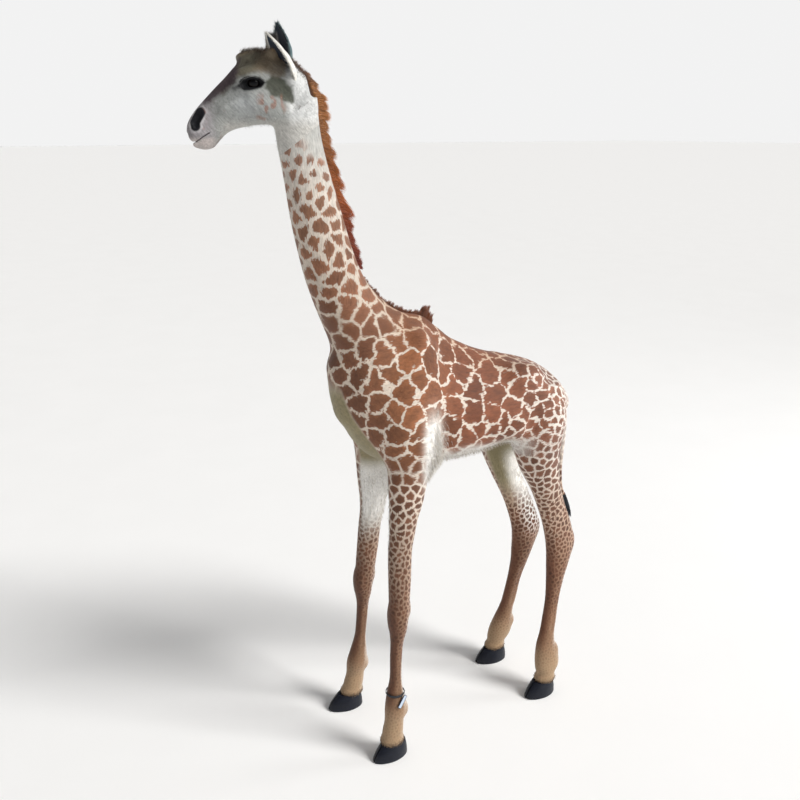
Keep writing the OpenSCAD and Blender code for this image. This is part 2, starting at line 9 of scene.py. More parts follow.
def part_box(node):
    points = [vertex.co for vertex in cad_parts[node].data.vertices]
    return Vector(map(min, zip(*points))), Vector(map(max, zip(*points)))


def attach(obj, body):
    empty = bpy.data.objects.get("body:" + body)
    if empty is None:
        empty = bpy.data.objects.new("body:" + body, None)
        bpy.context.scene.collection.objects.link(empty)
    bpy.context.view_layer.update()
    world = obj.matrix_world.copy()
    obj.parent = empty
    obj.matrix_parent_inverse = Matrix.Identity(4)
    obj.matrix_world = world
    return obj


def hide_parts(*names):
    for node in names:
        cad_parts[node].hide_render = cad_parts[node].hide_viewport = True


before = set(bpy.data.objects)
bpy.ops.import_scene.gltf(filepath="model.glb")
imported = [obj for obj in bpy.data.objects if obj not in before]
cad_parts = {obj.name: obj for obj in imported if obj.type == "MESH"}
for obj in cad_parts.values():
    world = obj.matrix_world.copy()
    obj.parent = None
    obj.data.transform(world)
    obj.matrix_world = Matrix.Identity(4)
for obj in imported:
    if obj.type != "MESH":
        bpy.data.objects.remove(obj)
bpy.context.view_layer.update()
SY = -162.0          # tables are typed with Y = 0 at the front soles
RNG = np.random.default_rng(7)

# ---------------------------------------------------------------- tables, mm
TRUNK = np.array([[0,-112,1694,-212,1648,36,.05],[0,-106,1622,-206,1592,41,.05],[0,-90,1552,-194,1526,43,.08],
 [0,-59,1450,-177,1416,48,.10],[0,-24,1339,-150,1301,54,.12],[0,10,1272,-126,1230,59,.15],[0,54,1224,-102,1172,66,.20],
 [0,104,1190,-80,1112,76,.25],[0,168,1172,-82,1050,90,.30],[0,214,1138,-76,980,104,.30],[0,252,1108,-46,900,114,.28],
 [0,290,1088,4,830,120,.25],[0,330,1070,80,792,126,.22],[0,376,1054,180,784,134,.20],[0,430,1040,290,788,138,.20],
 [0,482,1026,390,808,134,.22],[0,534,1006,468,840,122,.25],[0,584,974,540,850,104,.22],[0,622,936,596,846,80,.15],
 [0,644,896,632,850,46,.05]], float)
FG = [[44,24,29],[75,25,29],[106,23,27],[142,27,30],[186,20,23],[228,16,16],[286,16,16],[330,18,17],[366,24,23],
 [402,27,25],[444,26,28],[500,25,31],[580,25,33],[624,27,35],[670,30,40],[705,34,46],[755,39,53],[800,46,60],
 [860,50,74],[940,48,80],[1030,38,66],[1100,22,40]]
FL = [[128,6],[127,9],[126,14],[124,20],[122,19],[120,22],[117,25],[115,29],[113,34],[112,37],[109,40],[106,43],
 [101,47],[99,54],[96,61],[94,69],[90,76],[86,84],[84,88],[82,92],[76,100],[64,124]]
FR = [[-128,16],[-127,24],[-126,30],[-124,35],[-122,40],[-120,45],[-118,50],[-116,52],[-114,53],[-112,55],[-109,58],
 [-107,64],[-103,71],[-99,76],[-97,79],[-95,80],[-92,82],[-88,84],[-84,88],[-82,92],[-76,100],[-64,124]]
HG = [[44,23,27],[67,25,30],[88,27,39],[117,27,39],[152,23,30],[184,18,25],[214,17,24],[284,17,23],[346,22,29],
 [390,25,38],[432,27,45],[474,26,49],[530,24,48],[582,26,46],[652,34,48],[725,46,62],[790,60,72],[850,68,82],
 [910,64,80],[960,50,64]]
HL = [[113,544],[112,549],[110,554],[105,556],[99,555],[94,562],[90,570],[80,588],[74,600],[70,610],[67,617],
 [66,615],[69,597],[72,574],[80,541],[86,510],[88,496],[84,500],[78,502],[68,504]]
HR = [[-110,522],[-109,529],[-107,537],[-104,543],[-100,548],[-95,554],[-91,561],[-82,570],[-75,582],[-72,590],
 [-69,595],[-67,592],[-66,572],[-70,550],[-76,518],[-84,502],[-88,496],[-84,500],[-78,502],[-68,504]]
HEAD = np.array([[0,13,1740,25,1674,30,0],[0,-16,1768,-20,1662,42,.05],[0,-48,1788,-46,1648,50,.05],
 [0,-84,1790,-74,1638,53,.10],[0,-114,1780,-98,1636,52,.15],[0,-138,1759,-120,1632,45,.15],
 [0,-161,1735,-143,1627,38,.15],[0,-184,1713,-163,1618,33,.10],[0,-207,1690,-178,1604,31,.05],
 [0,-226,1670,-192,1590,32,0],[0,-240,1652,-212,1586,31,0],[0,-248,1636,-230,1594,25,0],[0,-250,1622,-240,1606,12,0]], float)
TAIL = np.array([[0,626,920,16],[0,638,902,14],[0,656,868,12],[0,666,820,9],[0,667,760,8],[0,663,700,7],
 [0,662,650,6.5],[0,668,600,6],[0,680,572,6]], float)
EAR_ROWS = np.array([[0,15,14],[14,21,18],[32,27,20],[52,28,18],[72,23,14],[90,15,10],[104,7,6],[112,3,3]], float)
MANE = np.array([[-136,1748,.5,.85,9],[-122,1722,.75,.65,20],[-113,1696,.85,.5,27],[-110,1670,.9,.4,30],[-106,1640,.9,.35,30],[-100,1600,.95,.3,36],[-88,1548,.95,.3,38],
 [-74,1500,.95,.3,36],[-58,1448,.93,.35,32],[-40,1392,.9,.4,28],[-22,1342,.9,.45,20],[-8,1308,.85,.5,8]], float)
WITHERS = np.array([[146,1177,.3,1,8],[160,1174,.35,1,22],[172,1171,.4,1,33],[184,1164,.45,1,30],[200,1151,.5,1,8]], float)
TUFT = np.array([[0,680.5,571.6,7],[0,690,552,13],[0,698,528,16],[0,702,508,14],[0,704,490,5]], float)
CLAW = np.array([[0,0,52,30],[3,0,54,31],[18,3,50,30],[32,7,43,28],[43,11,36,25]], float)
HOOVES = {"front_left": (129,0,6), "front_right": (-129,-1,-4), "hind_left": (113,528,4), "hind_right": (-110,511,-4)}
HEAD_AT = np.array([0.0, -150.0 + SY, 0.0])
HEAD_TURN = math.radians(-22)
HC, HS = math.cos(HEAD_TURN), math.sin(HEAD_TURN)
HEAD_M = np.array([[HC, -HS, 0], [HS, HC, 0], [0, 0, 1.0]])

def from_head(p):
    return np.asarray(p, float) @ HEAD_M.T + HEAD_AT * 0.001

def to_head(p):
    return (np.asarray(p, float) - HEAD_AT * 0.001) @ HEAD_M

# ------------------------------------------------------------------- helpers
def smooth_rows(rows, k):
    rows = np.asarray(rows, float)
    n = len(rows)
    out = []
    for i in range(n - 1):
        a, b, c, d = rows[max(i - 1, 0)], rows[i], rows[i + 1], rows[min(i + 2, n - 1)]
        for j in range(k):
            t = j / k
            out.append(0.5 * (2 * b + (c - a) * t + (2 * a - 5 * b + 4 * c - d) * t * t + (3 * b - a - 3 * c + d) * t ** 3))
    out.append(rows[-1])
    return np.array(out)

def rings(rows, n, g=0.0, sy=SY):
    r = rows
    a = np.linspace(0, 2 * np.pi, n, endpoint=False)[None, :]
    c, s = np.cos(a), np.sin(a)
    my, mz = (r[:, 1] + r[:, 3]) / 2, (r[:, 2] + r[:, 4]) / 2
    hy, hz = (r[:, 1] - r[:, 3]) / 2, (r[:, 2] - r[:, 4]) / 2
    k = (np.hypot(hy, hz) - g) / np.hypot(hy, hz)
    w = r[:, 5] - g
    x = r[:, 0:1] + w[:, None] * s * (1 - r[:, 6:7] * c)
    y = my[:, None] + (hy * k)[:, None] * c + sy
    z = mz[:, None] + (hz * k)[:, None] * c
    return np.stack([x, y, z], 2) * 0.001

def limb_rows(girth, way):
    return np.array([[w[0], w[1] - g[2], g[0], w[1] + g[2], g[0], g[1], 0] for g, w in zip(girth, way)], float)

def loft_faces(m, n, closed=True):
    i = np.arange(n if closed else n - 1)
    q = (i + 1) % n
    return np.concatenate([np.stack([j * n + i, j * n + q, (j + 1) * n + q, (j + 1) * n + i], 1) for j in range(m - 1)])

def level(R, g, band):
    m, n = R.shape[:2]
    pts = np.vstack([R.reshape(-1, 3), R[0].mean(0), R[-1].mean(0)]).astype(np.float32)
    i = np.arange(n)
    q = (i + 1) % n
    tris = np.vstack([np.stack([q, i, np.full(n, m * n)], 1),
                      np.stack([(m - 1) * n + i, (m - 1) * n + q, np.full(n, m * n + 1)], 1)]).astype(np.uint32)
    grid = openvdb.FloatGrid.createLevelSetFromPolygons(pts, triangles=tris, quads=loft_faces(m, n).astype(np.uint32),
        transform=openvdb.createLinearTransform(voxelSize=g.h), halfWidth=max(3.0, band / g.h))
    arr = np.full(tuple(g.n), band, np.float32)
    grid.copyToArray(arr, ijk=tuple(int(v) for v in g.ijk))
    return arr

class Grid:
    def __init__(self, lo, hi, h):
        self.h = h
        self.ijk = np.floor(np.array(lo) / h).astype(int)
        self.n = np.ceil((np.array(hi) - np.array(lo)) / h).astype(int) + 1
        f = np.float32
        self.x = ((self.ijk[0] + np.arange(self.n[0])) * h).astype(f)[:, None, None]
        self.y = ((self.ijk[1] + np.arange(self.n[1])) * h).astype(f)[None, :, None]
        self.z = ((self.ijk[2] + np.arange(self.n[2])) * h).astype(f)[None, None, :]

def smin(a, b, k):
    h = np.maximum(k - np.abs(a - b), 0) / k
    return np.minimum(a, b) - h * h * k * 0.25

def smax(a, b, k):
    return -smin(-a, -b, k)

def ell(g, c, r):
    x, y, z = g.x - c[0], g.y - c[1], g.z - c[2]
    k0 = np.sqrt((x / r[0]) ** 2 + (y / r[1]) ** 2 + (z / r[2]) ** 2)
    k1 = np.sqrt((x / r[0] ** 2) ** 2 + (y / r[1] ** 2) ** 2 + (z / r[2] ** 2) ** 2)
    return k0 * (k0 - 1) / np.maximum(k1, 1e-5)

def cap(g, a, b, ra, rb):
    a, b = np.array(a, float), np.array(b, float)
    d = b - a
    x, y, z = g.x - a[0], g.y - a[1], g.z - a[2]
    t = np.clip((x * d[0] + y * d[1] + z * d[2]) / (d @ d), 0, 1)
    return np.sqrt((x - t * d[0]) ** 2 + (y - t * d[1]) ** 2 + (z - t * d[2]) ** 2) - (ra + (rb - ra) * t)

def chain(g, pts, rad):
    out = None
    for i in range(len(pts) - 1):
        c = cap(g, pts[i], pts[i + 1], rad[i], rad[i + 1])
        out = c if out is None else np.minimum(out, c)
    return out

def skin_of(arr, g, iso=0.0):
    grid = openvdb.FloatGrid(1.0)
    grid.copyFromArray(np.ascontiguousarray(arr, np.float32), ijk=tuple(int(v) for v in g.ijk))
    grid.transform = openvdb.createLinearTransform(voxelSize=g.h)
    pts, quads = grid.convertToQuads(isovalue=iso)
    pts, quads = np.asarray(pts, float), np.asarray(quads, int)
    p = pts[quads]
    vol = np.einsum('ij,ij->i', p[:, 0], np.cross(p[:, 1] - p[:, 0], p[:, 2] - p[:, 0])).sum() \
        + np.einsum('ij,ij->i', p[:, 0], np.cross(p[:, 2] - p[:, 0], p[:, 3] - p[:, 0])).sum()
    if vol < 0:
        quads = quads[:, ::-1]
    return pts, quads

def piece(name, pts, faces, mat, node=None, smooth=True):
    me = bpy.data.meshes.new(name)
    me.from_pydata(np.asarray(pts).tolist(), [], faces.tolist() if hasattr(faces, "tolist") else faces)
    if smooth:
        me.polygons.foreach_set("use_smooth", np.ones(len(me.polygons), bool))
    me.update()
    ob = bpy.data.objects.new(name, me)
    bpy.context.scene.collection.objects.link(ob)
    if mat is not None:
        me.materials.append(mat)
    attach(ob, "root")
    if node:
        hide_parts(*([node] if isinstance(node, str) else node))
    return ob

def cut(ob, cuts):
    """Cuts a closed mesh by planes, keeps the side the normal points to, and closes it flat."""
    bm = bmesh.new()
    bm.from_mesh(ob.data)
    for co, no in cuts:
        r = bmesh.ops.bisect_plane(bm, geom=bm.verts[:] + bm.edges[:] + bm.faces[:], dist=1e-6, plane_co=co,
                                   plane_no=no, clear_inner=True)
        edges = [e for e in r["geom_cut"] if isinstance(e, bmesh.types.BMEdge) and e.is_valid and e.is_boundary]
        made = bmesh.ops.holes_fill(bm, edges=edges, sides=0)["faces"]
        for f in made:
            f.smooth = False
            for e in f.edges:
                e.smooth = False
    # keep only the largest island
    bm.verts.ensure_lookup_table()
    seen = np.zeros(len(bm.verts), int)
    bm.verts.index_update()
    best, groups = 0, []
    for v in bm.verts:
        if seen[v.index]:
            continue
        stack, grp = [v], []
        seen[v.index] = 1
        while stack:
            q = stack.pop()
            grp.append(q)
            for e in q.link_edges:
                o = e.other_vert(q)
                if not seen[o.index]:
                    seen[o.index] = 1
                    stack.append(o)
        groups.append(grp)
    groups.sort(key=len)
    for grp in groups[:-1]:
        bmesh.ops.delete(bm, geom=grp, context="VERTS")
    bmesh.ops.recalc_face_normals(bm, faces=bm.faces[:])
    bm.to_mesh(ob.data)
    bm.free()
    ob.data.update()

def verts_of(ob):
    a = np.empty(len(ob.data.vertices) * 3, np.float32)
    ob.data.vertices.foreach_get("co", a)
    return a.reshape(-1, 3).astype(float)

def normals_of(ob):
    a = np.empty(len(ob.data.vertices) * 3, np.float32)
    ob.data.vertices.foreach_get("normal", a)
    return a.reshape(-1, 3).astype(float)

def set_colour(ob, name, rgb):
    at = ob.data.attributes.new(name, "FLOAT_COLOR", "POINT")
    at.data.foreach_set("color", np.hstack([rgb, np.ones((len(rgb), 1))]).astype(np.float32).ravel())

def set_float(ob, name, v):
    at = ob.data.attributes.new(name, "FLOAT", "POINT")
    at.data.foreach_set("value", np.asarray(v, np.float32))

def set_vector(ob, name, v):
    at = ob.data.attributes.new(name, "FLOAT_VECTOR", "POINT")
    at.data.foreach_set("vector", np.asarray(v, np.float32).ravel())

def lin(h):
    c = np.array([int(h[i:i + 2], 16) for i in (1, 3, 5)]) / 255.0
    return np.where(c <= 0.04045, c / 12.92, ((c + 0.055) / 1.055) ** 2.4)

def ramp(v, stops):
    """Colours along a list of (value, hex), rising."""
    xs = [s[0] for s in stops]
    cs = np.array([lin(s[1]) for s in stops])
    return np.stack([np.interp(v, xs, cs[:, i]) for i in range(3)], 1)

def step(v, a, b):
    t = np.clip((v - a) / (b - a), 0, 1)
    return t * t * (3 - 2 * t)

def mix(a, b, t):
    return a + (b - a) * np.asarray(t)[:, None]

# smooth value noise on a lattice, repeatable
LAT = np.random.default_rng(11).random((64, 64, 64)).astype(np.float32)
def vnoise(p, scale, seed=0):
    q = p / scale + seed * 17.31
    i = np.floor(q).astype(int)
    f = q - i
    f = f * f * (3 - 2 * f)
    out = 0
    for a in (0, 1):
        for b in (0, 1):
            for c in (0, 1):
                w = (f[:, 0] if a else 1 - f[:, 0]) * (f[:, 1] if b else 1 - f[:, 1]) * (f[:, 2] if c else 1 - f[:, 2])
                out = out + w * LAT[(i[:, 0] + a) % 64, (i[:, 1] + b) % 64, (i[:, 2] + c) % 64]
    return out * 2 - 1

# ----------------------------------------------------------------- materials
def material(name, build, rough=0.6, **sockets):
    m = bpy.data.materials.new(name)
    m.use_nodes = True
    nt = m.node_tree
    b = nt.nodes["Principled BSDF"]
    b.inputs["Roughness"].default_value = rough
    for k, v in sockets.items():
        b.inputs[k.replace("_", " ")].default_value = v
    build(nt, b)
    return m

def nd(nt, kind, **props):
    n = nt.nodes.new(kind)
    for k, v in props.items():
        if k.startswith("i_"):
            n.inputs[k[2:].replace("_", " ")].default_value = v
        else:
            setattr(n, k, v)
    return n

def attr(nt, name):
    return nd(nt, "ShaderNodeAttribute", attribute_name=name)

def maths(nt, op, a, b=None, clamp=False):
    n = nd(nt, "ShaderNodeMath", operation=op, use_clamp=clamp)
    for i, v in enumerate((a, b)):
        if v is None:
            continue
        if isinstance(v, (int, float)):
            n.inputs[i].default_value = v
        else:
            nt.links.new(v, n.inputs[i])
    return n.outputs[0]

def mixc(nt, fac, a, b, mode="MIX"):
    n = nd(nt, "ShaderNodeMix", data_type="RGBA", blend_type=mode)
    for i, v in ((0, fac), (6, a), (7, b)):
        if isinstance(v, (int, float)):
            n.inputs[i].default_value = v
        elif isinstance(v, tuple):
            n.inputs[i].default_value = v
        else:
            nt.links.new(v, n.inputs[i])
    return n.outputs[2]

def noise_at(nt, vec, scale, detail=2.0, rough=0.5):
    n = nd(nt, "ShaderNodeTexNoise")
    n.inputs["Scale"].default_value = scale
    n.inputs["Detail"].default_value = detail
    n.inputs["Roughness"].default_value = rough
    nt.links.new(vec, n.inputs["Vector"])
    return n.outputs["Fac"]

def bump(nt, b, height, dist, strength=1.0):
    n = nd(nt, "ShaderNodeBump")
    n.inputs["Strength"].default_value = strength
    n.inputs["Distance"].default_value = dist
    nt.links.new(height, n.inputs["Height"])
    nt.links.new(n.outputs[0], b.inputs["Normal"])

def fur(name, streak=420.0, jag=2.6, depth=0.0012, sheen=0.2):
    """Short coat: ground and patch colours from the mesh, patch edges broken up by hair streaks."""
    def build(nt, b):
        hair = attr(nt, "hair").outputs["Vector"]
        s1 = noise_at(nt, hair, streak, 3.0, 0.6)
        s2 = noise_at(nt, hair, streak * 0.48, 2.0, 0.6)
        pat = attr(nt, "pat").outputs["Fac"]
        d = maths(nt, "ADD", pat, maths(nt, "MULTIPLY", maths(nt, "SUBTRACT", s2, 0.5), jag * 2.4))
        d = maths(nt, "ADD", d, maths(nt, "MULTIPLY", maths(nt, "SUBTRACT", s1, 0.5), jag * 1.6))
        mask = maths(nt, "ADD", maths(nt, "MULTIPLY", d, 0.42), 0.5, clamp=True)
        mask = maths(nt, "MULTIPLY", mask, attr(nt, "pm").outputs["Fac"])
        col = mixc(nt, mask, attr(nt, "ground").outputs["Color"], attr(nt, "patch").outputs["Color"])
        dark = maths(nt, "ADD", maths(nt, "MULTIPLY", maths(nt, "ADD", s1, maths(nt, "MULTIPLY", s2, 1.5)), 0.62), 0.22)
        comb = nd(nt, "ShaderNodeCombineColor")
        for i in range(3):
            nt.links.new(dark, comb.inputs[i])
        col = mixc(nt, 1.0, col, comb.outputs[0], "MULTIPLY")
        nt.links.new(col, b.inputs["Base Color"])
        r = maths(nt, "ADD", maths(nt, "MULTIPLY", s2, 0.25), 0.5)
        nt.links.new(r, b.inputs["Roughness"])
        bump(nt, b, maths(nt, "ADD", s1, maths(nt, "MULTIPLY", s2, 0.7)), depth, 0.8)
    return material(name, build, Sheen_Weight=sheen, Sheen_Roughness=0.45, Specular_IOR_Level=0.2)

def strand_mat(name, rough=0.45):
    def build(nt, b):
        tone = attr(nt, "tone").outputs["Color"]
        n = noise_at(nt, attr(nt, "hair").outputs["Vector"], 300.0, 2.0)
        f = maths(nt, "ADD", maths(nt, "MULTIPLY", n, 0.5), 0.75)
        comb = nd(nt, "ShaderNodeCombineColor")
        for i in range(3):
            nt.links.new(f, comb.inputs[i])
        nt.links.new(mixc(nt, 1.0, tone, comb.outputs[0], "MULTIPLY"), b.inputs["Base Color"])
        r = maths(nt, "ADD", maths(nt, "MULTIPLY", n, 0.2), rough - 0.1)
        nt.links.new(r, b.inputs["Roughness"])
        bump(nt, b, n, 0.0004, 0.5)
    return material(name, build, Sheen_Weight=0.15, Specular_IOR_Level=0.35)

def plain(name, a, c, scale, rough, stretch=(1, 1, 1), depth=0.0004, metal=0.0, detail=4.0, **kw):
    """Two colours mixed by a stretched noise, with bump and a roughness that follows it."""
    def build(nt, b):
        co = nd(nt, "ShaderNodeTexCoord").outputs["Object"]
        mp = nd(nt, "ShaderNodeMapping")
        mp.inputs["Scale"].default_value = stretch
        nt.links.new(co, mp.inputs["Vector"])
        n = noise_at(nt, mp.outputs[0], scale, detail, 0.6)
        f = maths(nt, "ADD", maths(nt, "MULTIPLY", n, 2.2), -0.6, clamp=True)
        la, lc = lin(a), lin(c)
        nt.links.new(mixc(nt, f, (*la, 1.0), (*lc, 1.0)), b.inputs["Base Color"])
        nt.links.new(maths(nt, "ADD", maths(nt, "MULTIPLY", n, 0.25), rough - 0.12), b.inputs["Roughness"])
        bump(nt, b, n, depth, 0.6)
    m = material(name, build, rough, **kw)
    m.node_tree.nodes["Principled BSDF"].inputs["Metallic"].default_value = metal
    return m

M_BODY = fur("coat_body", 420.0, 7.5, 0.0016)
M_HEAD = fur("coat_head", 620.0, 1.2, 0.0009, 0.03)
M_LEG = fur("coat_leg", 560.0, 4.2, 0.0010)
M_HAIR = strand_mat("hair_long")
M_DARKHAIR = strand_mat("hair_tuft", 0.35)
M_FLUFF = strand_mat("hair_fluff", 0.6)
M_FOAM = plain("carved_foam", "#CDBF86", "#DDD09A", 160.0, 0.85, depth=0.0008)
M_STEEL = plain("rod_steel", "#7C8086", "#9A9EA5", 90.0, 0.38, (1, 1, 0.1), 0.0001, 1.0)
M_ZINC = plain("zinc_plate", "#A4A8AE", "#BFC2C7", 60.0, 0.42, (1, 1, 1), 0.0001, 1.0)
M_PLY = plain("birch_ply", "#B98F57", "#D3B07A", 40.0, 0.6, (6, 0.6, 8), 0.0002)
M_BAND = plain("dark_band", "#15161B", "#24262D", 400.0, 0.55, depth=0.0002)

# -------------------------------------------------------------- body surface
LIMBS = {"front_left": (FG, FL), "front_right": (FG, FR), "hind_left": (HG, HL), "hind_right": (HG, HR)}
TR_RINGS = rings(smooth_rows(TRUNK, 6), 72)
LIMB_RINGS = {k: rings(smooth_rows(limb_rows(*v), 5), 40) for k, v in LIMBS.items()}

def yt(y):
    return (y + SY) * 0.001

def body_field(g, legs, sculpt=True):
    f = level(TR_RINGS, g, 0.045)
    if sculpt:
        for s in (-1, 1):
            f = smin(f, cap(g, (s * .074, yt(118), 1.125), (s * .098, yt(56), .955), .020, .026), .05)
            f = smin(f, ell(g, (s * .082, yt(446), .985), (.030, .050, .036)), .05)
            f = smin(f, cap(g, (s * .112, yt(384), .872), (s * .092, yt(452), .800), .012, .020), .05)
            f = smin(f, cap(g, (0, yt(-30), .96), (0, yt(-52), 1.06), .030, .026), .04)
    for k in legs:
        f = smin(f, level(LIMB_RINGS[k], g, 0.045), 0.034 if "front" in k else 0.022)
    if sculpt:
        for s in (-1, 1):
            if g.z.max() > 0.8:
                f = smin(f, ell(g, (s * .104, yt(122), .842), (.022, .028, .030)), .04)
                f = smax(f, -cap(g, (s * .146, yt(150), .960), (s * .140, yt(162), .850), .012, .010), .030)
    return f

def way_at(girth, way, z):
    return np.array([np.interp(z, [q[0] for q in girth], [w[i] for w in way]) for i in (0, 1)]
                    + [np.interp(z, [q[0] for q in girth], [q[i] for q in girth]) for i in (1, 2)])

CUT_Z = 0.775
N_HEAD = np.array([0.0, -0.6, 0.8])
P_HEAD = np.array([0.0, -0.010, 1.600])
no_w = HEAD_M @ N_HEAD
co_w = from_head(P_HEAD)

gb = Grid((-.168, -.405, .765), (.168, .505, 1.70), 0.0036)
fb = body_field(gb, list(LIMBS))
pts, quads = skin_of(fb, gb)
body = piece("coat_body_neck", pts, quads, M_BODY, ["hide_torso", "hide_neck"])
cut(body, [((0, 0, CUT_Z), (0, 0, 1)), (tuple(co_w), tuple(-no_w))])
coats = [body]

legs = {}
for k, (girth, way) in LIMBS.items():
    xs = [w[0] for w, q in zip(way, girth) if q[0] < 840]
    lo_x, hi_x = (min(xs) - 58) * .001, (max(xs) + 58) * .001
    ys = [(w[1] - q[2], w[1] + q[2]) for w, q in zip(way, girth) if q[0] < 840]
    g = Grid((lo_x, yt(min(a for a, _ in ys) - 12), .030), (hi_x, yt(max(b for _, b in ys) + 12), .800), 0.0026)
    f = body_field(g, [k], sculpt=False)
    s = 1 if "left" in k else -1
    if "front" in k:
        a = way_at(girth, way, 402)
        f = smin(f, ell(g, (a[0] * .001, yt(a[1] - 17), .404), (.020, .012, .036)), .014)
        f = smin(f, ell(g, (a[0] * .001, yt(a[1] + 20), .420), (.013, .012, .022)), .014)
    else:
        a = way_at(girth, way, 440)
        f = smin(f, ell(g, (a[0] * .001, yt(a[1] + 36), .452), (.011, .014, .028)), .016)
        for q in (-1, 1):
            f = smax(f, -cap(g, ((a[0] + q * 36) * .001, yt(a[1] + 12), .49), ((a[0] + q * 36) * .001, yt(a[1] - 8), .575), .011, .010), .008)
    for q in (-1, 1):
        a, b = way_at(girth, way, 200), way_at(girth, way, 320)
        f = smax(f, -cap(g, ((a[0] + q * (a[2] + 4.4)) * .001, yt(a[1] + 3), .200),
                         ((b[0] + q * (b[2] + 4.4)) * .001, yt(b[1] + 3), .320), .0055, .0055), .008)
    a = way_at(girth, way, 136)
    f = smin(f, ell(g, (a[0] * .001, yt(a[1] + a[3] - 6), .132), (.015, .011, .017)), .014)
    a = way_at(girth, way, 50)
    f = smin(f, ell(g, (a[0] * .001, yt(a[1]), .052), (.0255, .031, .011)), .010)
    pts, quads = skin_of(f, g)
    ob = piece("coat_leg_" + k, pts, quads, M_LEG, "hide_leg_" + k)
    cut(ob, [((0, 0, CUT_Z), (0, 0, -1)), ((0, 0, 0.0435), (0, 0, 1))])
    legs[k] = ob
    coats.append(ob)

# ----------------------------------------------------------------------- head
gh = Grid((-.074, -.272, 1.548), (.074, .085, 1.818), 0.0016)
neck_local = to_head(rings(smooth_rows(TRUNK[:4], 6), 72).reshape(-1, 3)).reshape(-1, 72, 3)
f = level(rings(smooth_rows(HEAD, 6), 56, sy=0.0), gh, 0.03)
f = smin(f, level(neck_local, gh, 0.03), 0.026)
NOS = [(.216, 1.662), (.223, 1.652), (.229, 1.641), (.228, 1.633)]
for s in (-1, 1):
    f = smin(f, ell(gh, (s * .042, -.108, 1.741), (.013, .032, .013)), .014)          # brow
    f = smin(f, cap(gh, (s * .044, -.082, 1.700), (s * .031, -.168, 1.668), .0085, .007), .014)  # cheek bone
    f = smin(f, ell(gh, (s * .036, -.066, 1.668), (.018, .040, .026)), .018)          # jaw muscle
    f = smin(f, ell(gh, (s * .034, -.020, 1.728), (.021, .020, .022)), .016)          # ear base
    f = smin(f, ell(gh, (s * .020, -.222, 1.612), (.015, .022, .014)), .010)          # lip
    f = smin(f, chain(gh, [(s * .0285, -a, b) for a, b in NOS], [.010, .012, .012, .010]), .010)
    f = smin(f, ell(gh, (s * .023, -.057, 1.784), (.013, .014, .012)), .010)          # horn base
    f = smax(f, -cap(gh, (s * .058, -.128, 1.690), (s * .050, -.170, 1.694), .010, .008), .014)
f = smin(f, ell(gh, (0, -.110, 1.776), (.022, .026, .012)), .014)
f = smin(f, ell(gh, (0, -.216, 1.594), (.020, .022, .009)), .008)
f0 = f.copy()
for s in (-1, 1):
    sock = ell(gh, (s * .0555, -.1025, 1.7205), (.0125, .0235, .0115))
    f = smax(f, -sock, .004)
    f = smin(f, smax(ell(gh, (s * .0475, -.1025, 1.7205), (.0085, .0285, .0160)), -ell(gh, (s * .0555, -.1025, 1.7205), (.0160, .0225, .0105)), .003), .005)
    f = smax(f, -chain(gh, [(s * .0395, -a, b) for a, b in NOS], [.0070, .0110, .0105, .0065]), .004)
ym = -gh.y
zm = np.interp(ym.ravel(), [.196, .210, .228, .243, .252], [1.6215, 1.6135, 1.6015, 1.598, 1.598]).reshape(ym.shape)
slit = np.maximum(np.maximum(np.abs(gh.z - zm) - .0011, .200 - ym), -(f0 + .0040))
f = smax(f, -slit, .0025)
pts, quads = skin_of(f, gh)
head = piece("coat_head", from_head(pts), quads, M_HEAD, "hide_head")
cut(head, [(tuple(co_w), tuple(no_w))])
coats.append(head)
pf, qf = skin_of(f + 0.0062 + 0 * gh.z, gh)
hf = piece("foam_head", from_head(pf), qf, M_FOAM, "form_head")
cut(hf, [(tuple(from_head(P_HEAD + N_HEAD * .004)), tuple(no_w))])

# ----------------------------------------------------------------------- tail
def tube(way, n, k=6, ends=True):
    r = smooth_rows(way, k)
    a = np.linspace(0, 2 * np.pi, n, endpoint=False)
    t = np.gradient(r[:, :3], axis=0)
    t /= np.linalg.norm(t, axis=1)[:, None]
    u = np.cross(t, [1.0, 0, 0])
    u /= np.linalg.norm(u, axis=1)[:, None]
    v = np.cross(t, u)
    R = r[:, None, :3] + r[:, 3:4, None] * (np.cos(a)[None, :, None] * u[:, None] + np.sin(a)[None, :, None] * v[:, None])
    m = len(R)
    P = R.reshape(-1, 3)
    F = loft_faces(m, n).tolist()
    if ends:
        F += [list(range(n))[::-1], [(m - 1) * n + i for i in range(n)]]
    return P, F

w = TAIL.copy()
w[:, 1] += SY
P, F = tube(w * .001, 28, 14)
tail = piece("coat_tail", P, F, M_LEG, "hide_tail")
coats.append(tail)

# --------------------------------------------------------------- coat pattern
def place(P):
    """Typed coordinates in mm."""
    return P[:, 0] * 1000, P[:, 1] * 1000 - SY, P[:, 2] * 1000

